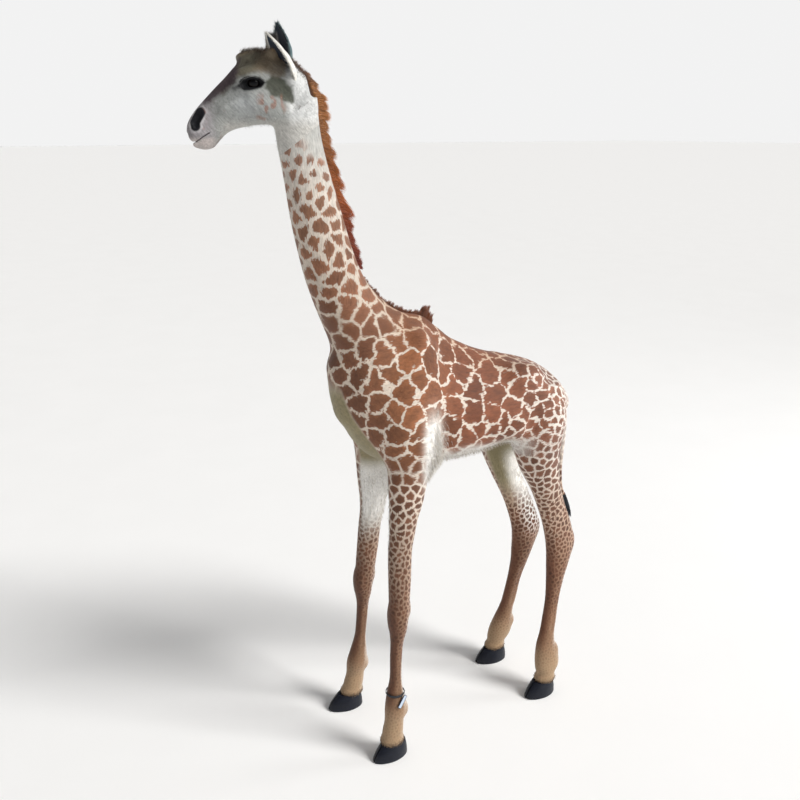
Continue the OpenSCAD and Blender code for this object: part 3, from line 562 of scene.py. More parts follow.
def spacing(P):
    x, y, z = place(P)
    neck = np.interp(z, [1180, 1260, 1400, 1520, 1650], [62, 50, 42, 36, 31])
    torso = np.interp(y, [-60, 40, 330, 400, 480, 560, 640], [58, 70, 70, 58, 38, 31, 26])
    torso = torso * np.interp(z, [790, 860, 950], [.72, .9, 1.0])
    t = step(z + 0.35 * (60 - y), 1110, 1210)
    r = torso * (1 - t) + neck * t
    fleg = np.interp(z, [60, 200, 300, 450, 600, 700, 800, 900], [9, 10, 11, 14, 18, 25, 38, 56])
    hleg = np.interp(z, [60, 200, 300, 450, 600, 700, 800, 900], [9, 10, 12, 15, 20, 26, 32, 36])
    leg = np.where(y < 300, fleg, hleg)
    u = step(z, 760, 880)
    big = np.interp(y, [-60, 60, 300, 420, 520], [.80, .86, .84, .80, .76])
    big = big * (1 - t) + np.interp(z, [1180, 1300, 1600], [.78, .88, .95]) * t
    return (leg * (1 - u) + np.minimum(r, np.where(z < 880, leg * 1.15, 999)) * u) * (big * u + .84 * (1 - u))

def line_half(P):
    x, y, z = place(P)
    neck = np.interp(z, [1180, 1300, 1450, 1600], [3.6, 5.0, 6.0, 6.6])
    torso = np.interp(y, [-60, 60, 330, 480, 640], [4.2, 3.4, 2.8, 2.7, 3.6])
    t = step(z + 0.35 * (60 - y), 1090, 1230)
    r = torso * (1 - t) + neck * t
    leg = np.interp(z, [60, 300, 450, 600, 800], [1.5, 1.5, 1.9, 2.3, 2.9])
    u = step(z, 700, 880)
    return leg * (1 - u) + r * u

cand = np.vstack([verts_of(o)[::3] for o in coats if o is not head])
cand = cand[np.random.default_rng(3).permutation(len(cand))]
rad = spacing(cand) * 0.001
order = np.arange(len(cand))
acc = np.empty((12000, 3))
accr = np.empty(12000)
na = 0
budget = min(len(cand), 60000)
for i in order[:budget]:
    p = cand[i]
    if na:
        d = ((acc[:na] - p) ** 2).sum(1)
        if (d < (0.82 * rad[i]) ** 2).any():
            continue
    if na >= 12000:
        break
    acc[na] = p
    accr[na] = rad[i]
    na += 1
acc, accr = acc[:na], accr[:na]
print("coat seeds", na)
tree = kdtree.KDTree(na)
for i, p in enumerate(acc):
    tree.insert(p.tolist(), i)
tree.balance()
cell_rnd = np.random.default_rng(5).random((na, 3))

def cells(P):
    """Distance in mm to the nearest cell edge, and that cell's number."""
    r = spacing(P) * 0.001
    wv = np.stack([vnoise(P * 1000, 26.0, 1), vnoise(P * 1000, 26.0, 2), vnoise(P * 1000, 26.0, 3)], 1)
    ws = np.stack([vnoise(P * 1000, 9.0, 4), vnoise(P * 1000, 9.0, 5), vnoise(P * 1000, 9.0, 6)], 1)
    Q = P + wv * r[:, None] * 0.20 + ws * r[:, None] * 0.085
    edge = np.empty(len(P))
    idx = np.empty(len(P), int)
    find = tree.find_n
    D = np.zeros((len(P), 5))
    I = np.zeros((len(P), 5), int)
    for k, q in enumerate(Q.tolist()):
        got = find(q, 5)
        for j, h in enumerate(got):
            I[k, j] = h[1]
            D[k, j] = h[2]
    s0 = acc[I[:, 0]]
    e = np.full(len(P), 1e9)
    for j in range(1, 5):
        sep = np.linalg.norm(acc[I[:, j]] - s0, axis=1) + 1e-9
        e = np.minimum(e, (D[:, j] ** 2 - D[:, 0] ** 2) / (2 * sep))
    return e * 1000, I[:, 0]

def hair_way(P):
    """Coordinates stretched along the lie of the hair."""
    x, y, z = P.T
    t = step(z, .70, .86)
    u = step(z, 1.10, 1.24)
    along = 0.16
    fy = (along + (1 - along) * (1 - t)) * (1 - u) + u * 0.8
    fz = (along * (1 - t) + t * 0.55) * (1 - u) + u * 0.22
    return np.stack([x, y * fy, z * fz], 1)

def paint_coat(ob):
    P, N = verts_of(ob), normals_of(ob)
    x, y, z = place(P)
    ax = np.abs(x)
    e, idx = cells(P)
    lw = line_half(P)
    rnd = cell_rnd[idx]
    # ---- patch colour
    torso = ramp(y, [(-80, "#6F4633"), (60, "#85502F"), (250, "#7A4029"), (400, "#743F2A"), (500, "#845443"), (600, "#906B5B")])
    neck = ramp(z, [(1150, "#7B4C35"), (1300, "#80543D"), (1450, "#86604A"), (1600, "#957364")])
    t = step(z + 0.35 * (60 - y), 1100, 1230)
    patch = mix(torso, neck, t)
    legc = ramp(z, [(60, "#6E5440"), (200, "#5A3B29"), (350, "#552F20"), (600, "#5E3626"), (780, "#6F4330")])
    patch = mix(patch, legc, 1 - step(z, 700, 860))
    # darker patches low on the legs, front legs more than hind: partly the legs' own darker brown, partly painted shade
    leg_dark_and_shade = (y < 300) * (1 - step(z, 620, 820)) * .34 + (y >= 300) * (1 - step(z, 420, 620)) * .16
    patch = patch * (1 - leg_dark_and_shade)[:, None]
    patch = mix(patch, np.tile(lin("#96592F"), (len(P), 1)), .45 * rnd[:, 1] * step(z, 980, 1120) * step(y, -20, 80) * (1 - step(y, 420, 520)))
    patch = mix(patch, np.tile(lin("#765440"), (len(P), 1)), np.full(len(P), .38))
    patch = patch * (0.78 + 0.40 * rnd[:, 0])[:, None] * (1 + .10 * vnoise(P * 1000, 22, 15))[:, None]
    core = np.clip((e - lw) / (spacing(P) * 0.4), 0, 1)
    patch = patch * (1.10 - 0.24 * core)[:, None]
    # ---- ground colour
    gt = ramp(y, [(-80, "#CDBFAF"), (100, "#D8CCBF"), (400, "#D9CDC1"), (640, "#E9E3DC")])
    gn = ramp(z, [(1150, "#CFC1B0"), (1400, "#D2C6B9"), (1600, "#CFC9C1")])
    ground = mix(gt, gn, t)
    back = step(N[:, 2], .35, .9) * step(z, 1000, 1040)
    ground = mix(ground, np.tile(lin("#C79F79"), (len(P), 1)), 0.6 * back)
    gl = ramp(z, [(60, "#9C8265"), (130, "#9B7C60"), (260, "#9A7458"), (400, "#A58066"), (520, "#BFA38D"), (700, "#D0BFAE")])
    ground = mix(ground, gl, 1 - step(z, 600, 820))
    # front of the lower legs is redder and darker: partly its own colour, partly painted shade on the side turned from
    # the key light. The rear edge is pale: partly its own colour, partly a painted highlight on the side facing the key
    # light
    low = 1 - step(z, 380, 560)
    ground = mix(ground, np.tile(lin("#714430"), (len(P), 1)), 0.85 * low * step(-N[:, 1], .1, .8) * step(z, 120, 200))
    ground = mix(ground, np.tile(lin("#D8CBBE"), (len(P), 1)), 0.8 * low * step(N[:, 1], .15, .75))
    # painted shade, partly the legs' own darker ground: ground darkened low on the legs (front legs more than hind),
    # least on the rear-facing side
    ground_dark_and_shade = (y < 300) * (1 - step(z, 560, 760)) * .40 * (1 - .8 * step(N[:, 1], .0, .7)) + (y >= 300) * (1 - step(z, 380, 600)) * .22 * (1 - .8 * step(N[:, 1], .0, .7))
    ground = ground * (1 - ground_dark_and_shade * step(z, 110, 200))[:, None]
    past = 1 - step(z, 95, 170)
    ground = mix(ground, np.tile(lin("#A88E70"), (len(P), 1)), 0.7 * past)
    pm = np.ones(len(P))
    pm *= 0.35 + 0.65 * step(z + 60 * vnoise(P * 1000, 45, 12), 90, 330)
    # ---- plain zones
    inner = step(-N[:, 0] * np.sign(x), .05, .6)
    olive = np.tile(lin("#8A8062"), (len(P), 1))
    white = np.tile(lin("#ECEAE6"), (len(P), 1))
    # breast between the front legs, inside a line that runs down each side
    seam = np.interp(z, [780, 805, 880, 960, 1020, 1060], [76, 75, 62, 48, 36, 0])
    front = step(-N[:, 1], -.15, .25) * (1 - step(y, 40, 90))
    breast = (1 - step(ax, seam - 5, seam + 4)) * front * (1 - step(z, 990, 1050)) * step(z, 640, 720)
    legin = inner * (1 - step(z, 860, 920)) * step(z, 520, 660)
    fore = y < 300
    plainz = np.maximum(breast, legin)
    under = step(-N[:, 2], .55, .9) * step(z, 770, 800) * (1 - step(z, 880, 960))
    plainz = np.maximum(plainz, under * 0.8)
    ground = mix(ground, olive, plainz)
    wf = np.where(fore, step(-N[:, 0] * np.sign(x), .0, .5) * (1 - step(z, 740, 800)) * step(z, 520, 640),
                  inner * (1 - step(z, 700, 760)) * step(z, 420, 500) * step(N[:, 1], -.5, .2))
    ground = mix(ground, white, wf)
    pm *= 1 - np.clip(plainz * 1.15, 0, 1)
    # white elbow, flank fold and belly edge
    elbow = np.exp(-((((y - 128) / 30) ** 2) ** 1.5 + (((z - 852) / 88) ** 2) ** 1.5)) * step(ax, 50, 80)
    belly = step(838 + 14 * vnoise(P * 1000, 30, 8) - z, -10, 16) * step(y, 120, 150) * (1 - step(y, 400, 470)) * step(z, 772, 780)
    wz = np.clip(np.maximum(elbow * 1.6, belly * 0.8), 0, 1)
    ground = mix(ground, white, wz)
    pm *= 1 - np.clip(wz * 0.9, 0, .92)
    # throat and back of the head: no patches
    thr = step(z + 0.5 * (y + 150) + 26 * vnoise(P * 1000, 24, 17), 1500, 1650)
    ground = mix(ground, np.tile(lin("#B5B5B1"), (len(P), 1)), thr)
    pm *= 1 - 0.97 * step(thr, .30, .80)
    ground = ground * (1 - .16 * step(z, 1150, 1300))[:, None]
    # rump's rear edge has fewer patches: a painted highlight where the key light falls
    rump_rear_highlight = step(y, 588, 640) * step(z, 640, 700)
    pm *= 1 - 0.55 * rump_rear_highlight
    ground = ground * (1 + 0.06 * vnoise(P * 1000, 40, 9))[:, None]
    set_colour(ob, "ground", np.clip(ground, 0, 1))
    set_colour(ob, "patch", np.clip(patch, 0, 1))
    set_float(ob, "pat", e - lw)
    set_float(ob, "pm", np.clip(pm, 0, 1))
    set_vector(ob, "hair", hair_way(P))

for ob in coats:
    if ob is not head:
        paint_coat(ob)

# ----------------------------------------------------------------- head paint
def poly_dist(u, v, poly):
    """Signed distance in mm to a closed outline, inside negative."""
    poly = np.array(poly, float)
    d = np.full(len(u), 1e9)
    inside = np.zeros(len(u), bool)
    for i in range(len(poly)):
        a, b = poly[i], poly[(i + 1) % len(poly)]
        ex, ey = b - a
        wx, wy = u - a[0], v - a[1]
        t = np.clip((wx * ex + wy * ey) / (ex * ex + ey * ey), 0, 1)
        d = np.minimum(d, np.hypot(wx - t * ex, wy - t * ey))
        c = ((a[1] <= v) & (b[1] > v)) | ((b[1] <= v) & (a[1] > v))
        with np.errstate(divide="ignore", invalid="ignore"):
            xi = a[0] + (v - a[1]) / np.where(ey == 0, 1e-9, ey) * ex
        inside ^= c & (u < xi)
    return np.where(inside, -d, d)

def paint_head(ob):
    P = verts_of(ob)
    L = to_head(P) * 1000
    x, s, z = L[:, 0], -L[:, 1], L[:, 2]
    ax = np.abs(x)
    n = len(P)
    def c(h):
        return np.tile(lin(h), (n, 1))
    wob = 4 * vnoise(L, 14, 1) + 2 * vnoise(L, 5, 2)
    col = c("#929491")
    col = mix(col, c("#C2C3C2"), step(30 - s + wob, -8, 14))                        # back of the head
    col = mix(col, c("#B5B3AE"), step(1655 - z + wob, 0, 26) * (1 - step(s, 150, 190)))   # under the jaw
    col = mix(col, c("#8D898B"), step(s + wob, 176, 205))                           # muzzle
    top = step(z - np.interp(s, [0, 60, 110, 140, 170, 200], [1765, 1760, 1748, 1730, 1706, 1684]) + wob, -8, 12)
    col = mix(col, c("#75654F"), top * (1 - step(s, 120, 150)))
    fh = poly_dist(s, z, [(124, 1780), (56, 1800), (60, 1752), (84, 1746), (105, 1741), (137, 1730), (168, 1696), (190, 1706), (152, 1752)])
    col = mix(col, c("#5D594C"), step(-fh + wob, -8, 8))
    br = poly_dist(s, z, [(128, 1772), (180, 1724), (218, 1692), (206, 1680), (193, 1679), (162, 1705), (138, 1724)])
    col = mix(col, c("#41343A"), 0.9 * step(-br + wob, -7, 7))
    pt = poly_dist(s, z, [(76, 1728), (59, 1738), (33, 1731), (15, 1709), (16, 1683), (35, 1681), (60, 1695), (79, 1709)])
    col = mix(col, c("#484A40"), 0.95 * step(-pt + wob, -4, 6))
    brown = poly_dist(s, z, [(98, 1750), (80, 1741), (60, 1737), (34, 1733), (26, 1758), (42, 1794), (74, 1798)])
    col = mix(col, c("#6B5F4F"), 0.85 * step(-brown + wob, -8, 8))
    lipd = step(s + wob, 222, 240) * step(1655 - z, -8, 14)
    col = mix(col, c("#7C7678"), 0.5 * lipd)
    chin = step(1610 - z + wob * .5, -4, 8) * step(s, 178, 200)
    col = mix(col, c("#BFB5B0"), 0.7 * chin)
    # lighter blob on the cheek: partly the cheek's own paler grey, partly a painted highlight
    cheek = np.exp(-(((s - 118) / 34) ** 2 + ((z - 1678) / 26) ** 2))
    col = mix(col, c("#ABAEAF"), 0.8 * cheek)
    # dark skin round the eye
    ey = poly_dist(s, z, [(137, 1715), (122, 1728), (104, 1733), (87, 1731), (74, 1723), (85, 1712), (104, 1706), (121, 1707)])
    side = step(ax, 24, 34)
    col = mix(col, c("#07080B"), step(-ey + wob * .35, -3.0, 2.0) * side)
    tear = poly_dist(s, z, [(128, 1722), (146, 1712), (143, 1706), (124, 1713)])
    col = mix(col, c("#3A393B"), 0.6 * step(-tear + wob * .4, -4, 3) * side)
    # nostril
    nd_ = np.full(n, 1e9)
    for i in range(3):
        a, b = np.array(NOS[i]) * 1000, np.array(NOS[i + 1]) * 1000
        e = b - a
        t = np.clip(((s - a[0]) * e[0] + (z - a[1]) * e[1]) / (e @ e), 0, 1)
        nd_ = np.minimum(nd_, np.hypot(s - a[0] - t * e[0], z - a[1] - t * e[1]))
    side = step(ax, 12, 20)
    col = mix(col, c("#B5B2B4"), 0.8 * step(18 - nd_ + wob * .5, 0, 5) * step(s, 205, 212) * side)
    col = mix(col, c("#0B0C12"), step(12.2 - nd_ + wob * .25, 0, 3) * side)
    zl = np.interp(s, [.196e3, .210e3, .228e3, .243e3, .252e3], [1621.5, 1613.5, 1601.5, 1598, 1598])
    col = mix(col, c("#2A2426"), 0.7 * step(2.2 - np.abs(z - zl), 0, 1.6) * step(s, 196, 202))
    # fine speckle, and brown flecks on the jaw
    col = col * (1 + 0.10 * vnoise(L, 7, 3) + 0.06 * vnoise(L, 3, 4))[:, None]
    fl = poly_dist(s, z, [(92, 1697), (40, 1697), (34, 1665), (64, 1642), (98, 1648)])
    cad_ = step(vnoise(L * np.array([1, 1.0, .55]), 6.5, 5) + .6 * vnoise(L, 13, 6), .08, .42) * step(-fl, -8, 10)
    col = mix(col, c("#8A5B48"), 0.62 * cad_)
    mf = step(vnoise(L, 5.5, 7) + .5 * vnoise(L, 14, 8), .45, .8) * step(s, 150, 190) * (1 - step(s, 205, 225)) * step(1690 - z, 0, 20)
    col = mix(col, c("#7C5B52"), 0.4 * mf)
    set_colour(ob, "ground", np.clip(col, 0, 1))
    set_colour(ob, "patch", np.clip(col * .8, 0, 1))
    set_float(ob, "pat", np.full(n, -9.0))
    set_float(ob, "pm", np.zeros(n))
    H = L * .001
    set_vector(ob, "hair", np.stack([H[:, 0], (H[:, 1] * .72 + H[:, 2] * .69) * 1.0, (H[:, 2] * .72 - H[:, 1] * .69) * .22], 1))

paint_head(head)

# -------------------------------------------------------------------- strands
def strands(name, roots, dirs, lens, width, tones, mat, node=None, bend=None, seg=5, wave=0.0, seed=1, sides=3, flat=1.0):
    """Tapered hairs as one mesh. Every hair is a closed tapered prism."""
    rng = np.random.default_rng(seed)
    n = len(roots)
    roots, dirs = np.asarray(roots, float), np.asarray(dirs, float)
    dirs = dirs / np.linalg.norm(dirs, axis=1)[:, None]
    bend = np.zeros((n, 3)) if bend is None else np.asarray(bend, float)
    lens = np.asarray(lens, float)
    t = np.linspace(0, 1, seg + 1)
    C = roots[:, None] + dirs[:, None] * (lens[:, None] * t)[..., None] + bend[:, None] * (lens[:, None] * t ** 2)[..., None]
    if wave:
        ph = rng.random(n) * 6.28
        side = np.cross(dirs, rng.normal(size=(n, 3)))
        side /= np.linalg.norm(side, axis=1)[:, None] + 1e-9
        C = C + side[:, None] * (np.sin(ph[:, None] + t * 5.0) * t * wave * lens[:, None])[..., None]
    T = np.gradient(C, axis=1)
    T /= np.linalg.norm(T, axis=2)[..., None] + 1e-12
    ref = rng.normal(size=(n, 3))
    U = np.cross(T, ref[:, None])
    U /= np.linalg.norm(U, axis=2)[..., None] + 1e-12
    V = np.cross(T, U)
    prof = np.maximum(1 - t ** 1.6, 0.06)
    w = np.broadcast_to(np.asarray(width, float), (n,))[:, None] * prof
    a = np.arange(sides) * 2 * np.pi / sides
    R = C[:, :, None] + w[:, :, None, None] * (np.cos(a)[None, None, :, None] * U[:, :, None] + flat * np.sin(a)[None, None, :, None] * V[:, :, None])
    P = R.reshape(-1, 3)
    m = (seg + 1) * sides
    base = loft_faces(seg + 1, sides)
    F = (base[None] + (np.arange(n) * m)[:, None, None]).reshape(-1, 4)
    lst = F.tolist()
    e0 = np.arange(sides)[::-1]
    e1 = seg * sides + np.arange(sides)
    for k in range(n):
        lst.append((e0 + k * m).tolist())
        lst.append((e1 + k * m).tolist())
    ob = piece(name, P, lst, mat, node)
    tn = np.repeat(np.asarray(tones, float), m, axis=0)
    tt = np.tile(np.repeat(t, sides), n)
    tn = tn * (0.72 + 0.42 * tt)[:, None]
    set_colour(ob, "tone", np.clip(tn, 0, 1))
    hv = np.stack([np.repeat(rng.random(n), m), np.repeat(rng.random(n), m), tt * 0.05], 1)
    set_vector(ob, "hair", hv)
    return ob

def tones(n, cols, seed):
    rng = np.random.default_rng(seed)
    cs = np.array([lin(c) for c in cols])
    k = rng.integers(0, len(cs), n)
    return cs[k] * (0.78 + 0.44 * rng.random(n))[:, None]

def crest(name, rows, count, half, cols, width, node, seed, mat, spread=.16, droop=0.35, clump=26):
    rng = np.random.default_rng(seed)
    r = smooth_rows(rows, 12)
    m = len(r) - 1
    u = rng.random(count) * m
    i = np.minimum(u.astype(int), m - 1)
    f = (u - i)[:, None]
    q = r[i] * (1 - f) + r[i + 1] * f
    x = rng.normal(0, half * .42, count).clip(-half, half)
    cid = np.floor(u / m * clump + 0.35 * rng.normal(size=count) + 0.5 * (x > 0))
    crnd = np.random.default_rng(seed + 9).random((clump + 12, 3))
    ck = crnd[np.clip(cid.astype(int) + 4, 0, clump + 11)]
    root = np.stack([x, q[:, 0] + SY - q[:, 2] * 7, q[:, 1] - q[:, 3] * 7], 1) * .001
    d = np.stack([x / half * spread + rng.normal(0, .07, count), q[:, 2] + rng.normal(0, .08, count), q[:, 3] + rng.normal(0, .10, count)], 1)
    d[:, 2] += (ck[:, 1] - .5) * .25
    ln = (q[:, 4] * 1.02 + 7) * (0.78 + 0.32 * rng.random(count)) * (0.76 + 0.36 * ck[:, 0])
    b = np.stack([(ck[:, 2] - .5) * .18, np.zeros(count), -droop * (0.6 + 0.9 * ck[:, 1])], 1)
    # hairs of a lock lean in to its tip
    uc = np.clip((cid + .5) / clump * m, 0, m - 1e-3)
    ic = uc.astype(int)
    qc = r[ic] * (1 - (uc - ic))[:, None] + r[ic + 1] * (uc - ic)[:, None]
    tip = np.stack([(ck[:, 2] - .5) * half * 1.6, qc[:, 0] + SY + qc[:, 2] * (ln - 7), qc[:, 1] + qc[:, 3] * (ln - 7)], 1)
    to = tip - root * 1000
    to /= np.linalg.norm(to, axis=1)[:, None]
    dn = d / np.linalg.norm(d, axis=1)[:, None]
    d = dn * .38 + to * .62
    return strands(name, root, d, ln * .001, width, cols(q, rng, ck), mat, node, bend=b, seg=5, seed=seed)

def mane_cols(q, rng, ck):
    c = ramp(q[:, 1], [(1310, "#7A2C18"), (1400, "#92401F"), (1520, "#B3652F"), (1640, "#AE7340"), (1700, "#B57A45"), (1750, "#6E4A34")])
    return c * (0.62 + 0.5 * rng.random(len(q)) + 0.28 * ck[:, 0])[:, None]

crest("mane_hair", MANE, 5200, 7.0, mane_cols, .00085, "mane", 21, M_HAIR, clump=17, droop=.5)
def wither_cols(q, rng, ck):
    c = np.tile(lin("#7A4324"), (len(q), 1))
    return c * (0.5 + 0.8 * rng.random(len(q)))[:, None]
crest("withers_hair", WITHERS, 1500, 8.0, wither_cols, .0009, "withers_tuft", 22, M_HAIR, spread=.3, droop=.12, clump=9)
# short dark ridge of hair from the end of the mane to the withers
RIDGE = np.array([[6,1284,.6,.8,4],[40,1238,.5,.85,9],[80,1206,.45,.9,10],[120,1187,.45,.9,10],[150,1177,.45,.9,9]], float)
crest("ridge_hair", RIDGE, 1100, 6.0, wither_cols, .0006, None, 23, M_HAIR, spread=.3, droop=.1, clump=16)

# tail tuft
rng = np.random.default_rng(31)
n = 900
k = rng.random(n) ** .8
w = smooth_rows(TUFT, 10)
j = (k * 18).astype(int)
c = w[j]
ang = rng.random(n) * 6.283
rr = 3.5
root = np.stack([c[:, 0] + rr * np.cos(ang), c[:, 1] + SY + rr * np.sin(ang), c[:, 2] + 6], 1) * .001
d = np.stack([np.cos(ang) * .26, np.sin(ang) * .26 + .22, np.full(n, -1.0)], 1)
ln = np.minimum(.052 * (0.7 + .5 * rng.random(n)), (c[:, 2] - 484) * .001 + .004)
b = np.stack([-np.cos(ang) * .18, -np.sin(ang) * .18, np.full(n, -.02)], 1)
strands("tail_tuft_hair", root, d, ln, .0009, tones(n, ["#14161C", "#1D2330", "#0E1016", "#2B3140"], 32), M_DARKHAIR, "tail_tuft", bend=b, seg=5, wave=.04, seed=33)

def surface_roots(ob, weight, count, seed):
    rng = np.random.default_rng(seed)
    P, N = verts_of(ob), normals_of(ob)
    w = np.clip(weight(P, N), 0, None)
    if w.sum() <= 0:
        return P[:0], N[:0]
    k = rng.choice(len(P), size=count, p=w / w.sum())
    return P[k] + rng.normal(0, .0012, (count, 3)), N[k]

def fluff(name, ob, weight, count, length, lay, cols, seed, width=.00035, lift=.45):
    P, N = surface_roots(ob, weight, count, seed)
    rng = np.random.default_rng(seed + 1)
    lay = np.array(lay, float)
    if lay.ndim == 1:
        lay = np.tile(lay, (len(P), 1))
    d = N * lift + lay + rng.normal(0, .16, (len(P), 3))
    P = P - N * .001
    return strands(name, P, d, length * (.6 + .7 * rng.random(len(P))), width, tones(len(P), cols, seed + 2), M_FLUFF, None,
                   bend=-N * .25, seg=3, seed=seed + 3)

WH = ["#E9E6E0", "#F3F1EE", "#D9D4CB", "#C9BFAF"]
def w_elbow(P, N):
    x, y, z = place(P)
    return np.exp(-(((y - 140) / 22) ** 2 + ((z - 842) / 66) ** 2)) * (np.abs(x) > 60)
fluff("elbow_fluff", body, w_elbow, 3400, .020, (0, .25, -1), WH, 41)
def w_belly(P, N):
    x, y, z = place(P)
    return step(850 - z, 0, 30) * step(y, 120, 150) * (1 - step(y, 410, 460)) * (z > 778) * (np.abs(x) > 30)
fluff("belly_fluff", body, w_belly, 3000, .014, (0, .5, -.9), WH + ["#8A6A55"], 45)
for nm, key in (("front_right", "front_right"), ("front_left", "front_left")):
    def w_in(P, N):
        x, y, z = place(P)
        return step(-N[:, 0] * np.sign(x), .0, .4) * step(z, 560, 640) * (1 - step(z, 740, 772))
    fluff("inner_fluff_" + nm, legs[key], w_in, 1500, .011, (0, .1, -1), WH, 49 + len(nm))
for nm in ("hind_right", "hind_left"):
    def w_in2(P, N):
        x, y, z = place(P)
        return step(-N[:, 0] * np.sign(x), .0, .4) * step(z, 470, 560) * (1 - step(z, 700, 760)) * step(N[:, 1], -.4, .2)
    fluff("inner_fluff_" + nm, legs[nm], w_in2, 1300, .010, (0, .15, -1), WH, 61 + len(nm))
# hair over the coronets
for k, ob in legs.items():
    def w_c(P, N):
        return (P[:, 2] < .058) * (np.hypot(N[:, 0], N[:, 1]) > .4)
    fluff("coronet_hair_" + k, ob, w_c, 900, .009, (0, 0, -1), ["#8F765A", "#6E553C", "#A68E70"], 71 + len(k), width=.00035, lift=.35)

# ---------------------------------------------------------------------- hooves
def hoof_mat():
    def build(nt, b):
        co = nd(nt, "ShaderNodeTexCoord").outputs["Object"]
        wv = nd(nt, "ShaderNodeTexWave", wave_type="BANDS", bands_direction="Z")
        wv.inputs["Scale"].default_value = 85.0
        wv.inputs["Distortion"].default_value = 3.0
        wv.inputs["Detail"].default_value = 2.0
        wv.inputs["Detail Scale"].default_value = 1.5
        nt.links.new(co, wv.inputs["Vector"])
        n = noise_at(nt, co, 140.0, 4.0)
        f = maths(nt, "MULTIPLY", maths(nt, "ADD", wv.outputs["Fac"], n), 0.5)
        nt.links.new(mixc(nt, f, (*lin("#05060B"), 1), (*lin("#141A2A"), 1)), b.inputs["Base Color"])
        nt.links.new(maths(nt, "ADD", maths(nt, "MULTIPLY", n, .3), .26), b.inputs["Roughness"])
        bump(nt, b, maths(nt, "ADD", maths(nt, "MULTIPLY", wv.outputs["Fac"], .5), n), .0006, .5)
    return material("hoof_horn", build, Coat_Weight=0.1, Coat_Roughness=0.25, Specular_IOR_Level=0.28)
M_HOOF = hoof_mat()
for k, (hx, hy, turn) in HOOVES.items():
    rows = smooth_rows(CLAW, 7)
    n = 44
    allP, allF = [], []
    for s in (-1, 1):
        P = []
        for q, r in enumerate(rows):
            gr = 0.35 * math.sin(r[0] * 1.15) * (1 if 4 < r[0] < 40 else 0)
            for i in range(n):
                a = i * 2 * math.pi / n
                c, v = math.cos(a), math.sin(a)
                lobe = max(v, 0) ** 0.9
                X = s * (2 + (r[3] - 2 + gr) * lobe) * (1 - 0.25 * max(c, 0) ** 1.5)
                if v <= 0:
                    X = s * 2.0 * (1 - 0.25 * max(c, 0) ** 1.5) + s * 0.8 * (-v) * 0
                Y = r[1] - (r[2] + gr) * (c if c < 0 else c ** 0.92)
                if c < 0:
                    Y = r[1] - (r[2] + gr) * c * .92
                P.append((X, Y, max(r[0], 0)))
        P = np.array(P)
        base = len(allP)
        m = len(rows)
        F = loft_faces(m, n).tolist()
        F += [list(range(n))[::-1], [(m - 1) * n + i for i in range(n)]]
        off = sum(len(q) for q in allP)
        allP.append(P)
        allF += [[i + off for i in fc] for fc in F]
    P = np.vstack(allP)
    t = math.radians(turn)
    X = P[:, 0] * math.cos(t) - P[:, 1] * math.sin(t) + hx
    Y = P[:, 0] * math.sin(t) + P[:, 1] * math.cos(t) + hy + SY
    ob = piece("hoof_shell_" + k, np.stack([X, Y, P[:, 2]], 1) * .001, allF, M_HOOF, "hoof_" + k)
    bm = bmesh.new()
    bm.from_mesh(ob.data)
    bmesh.ops.recalc_face_normals(bm, faces=bm.faces[:])
    for e in bm.edges:
        if len(e.link_faces) == 2 and e.calc_face_angle(0) > .7:
            e.smooth = False
    bm.to_mesh(ob.data)
    bm.free()

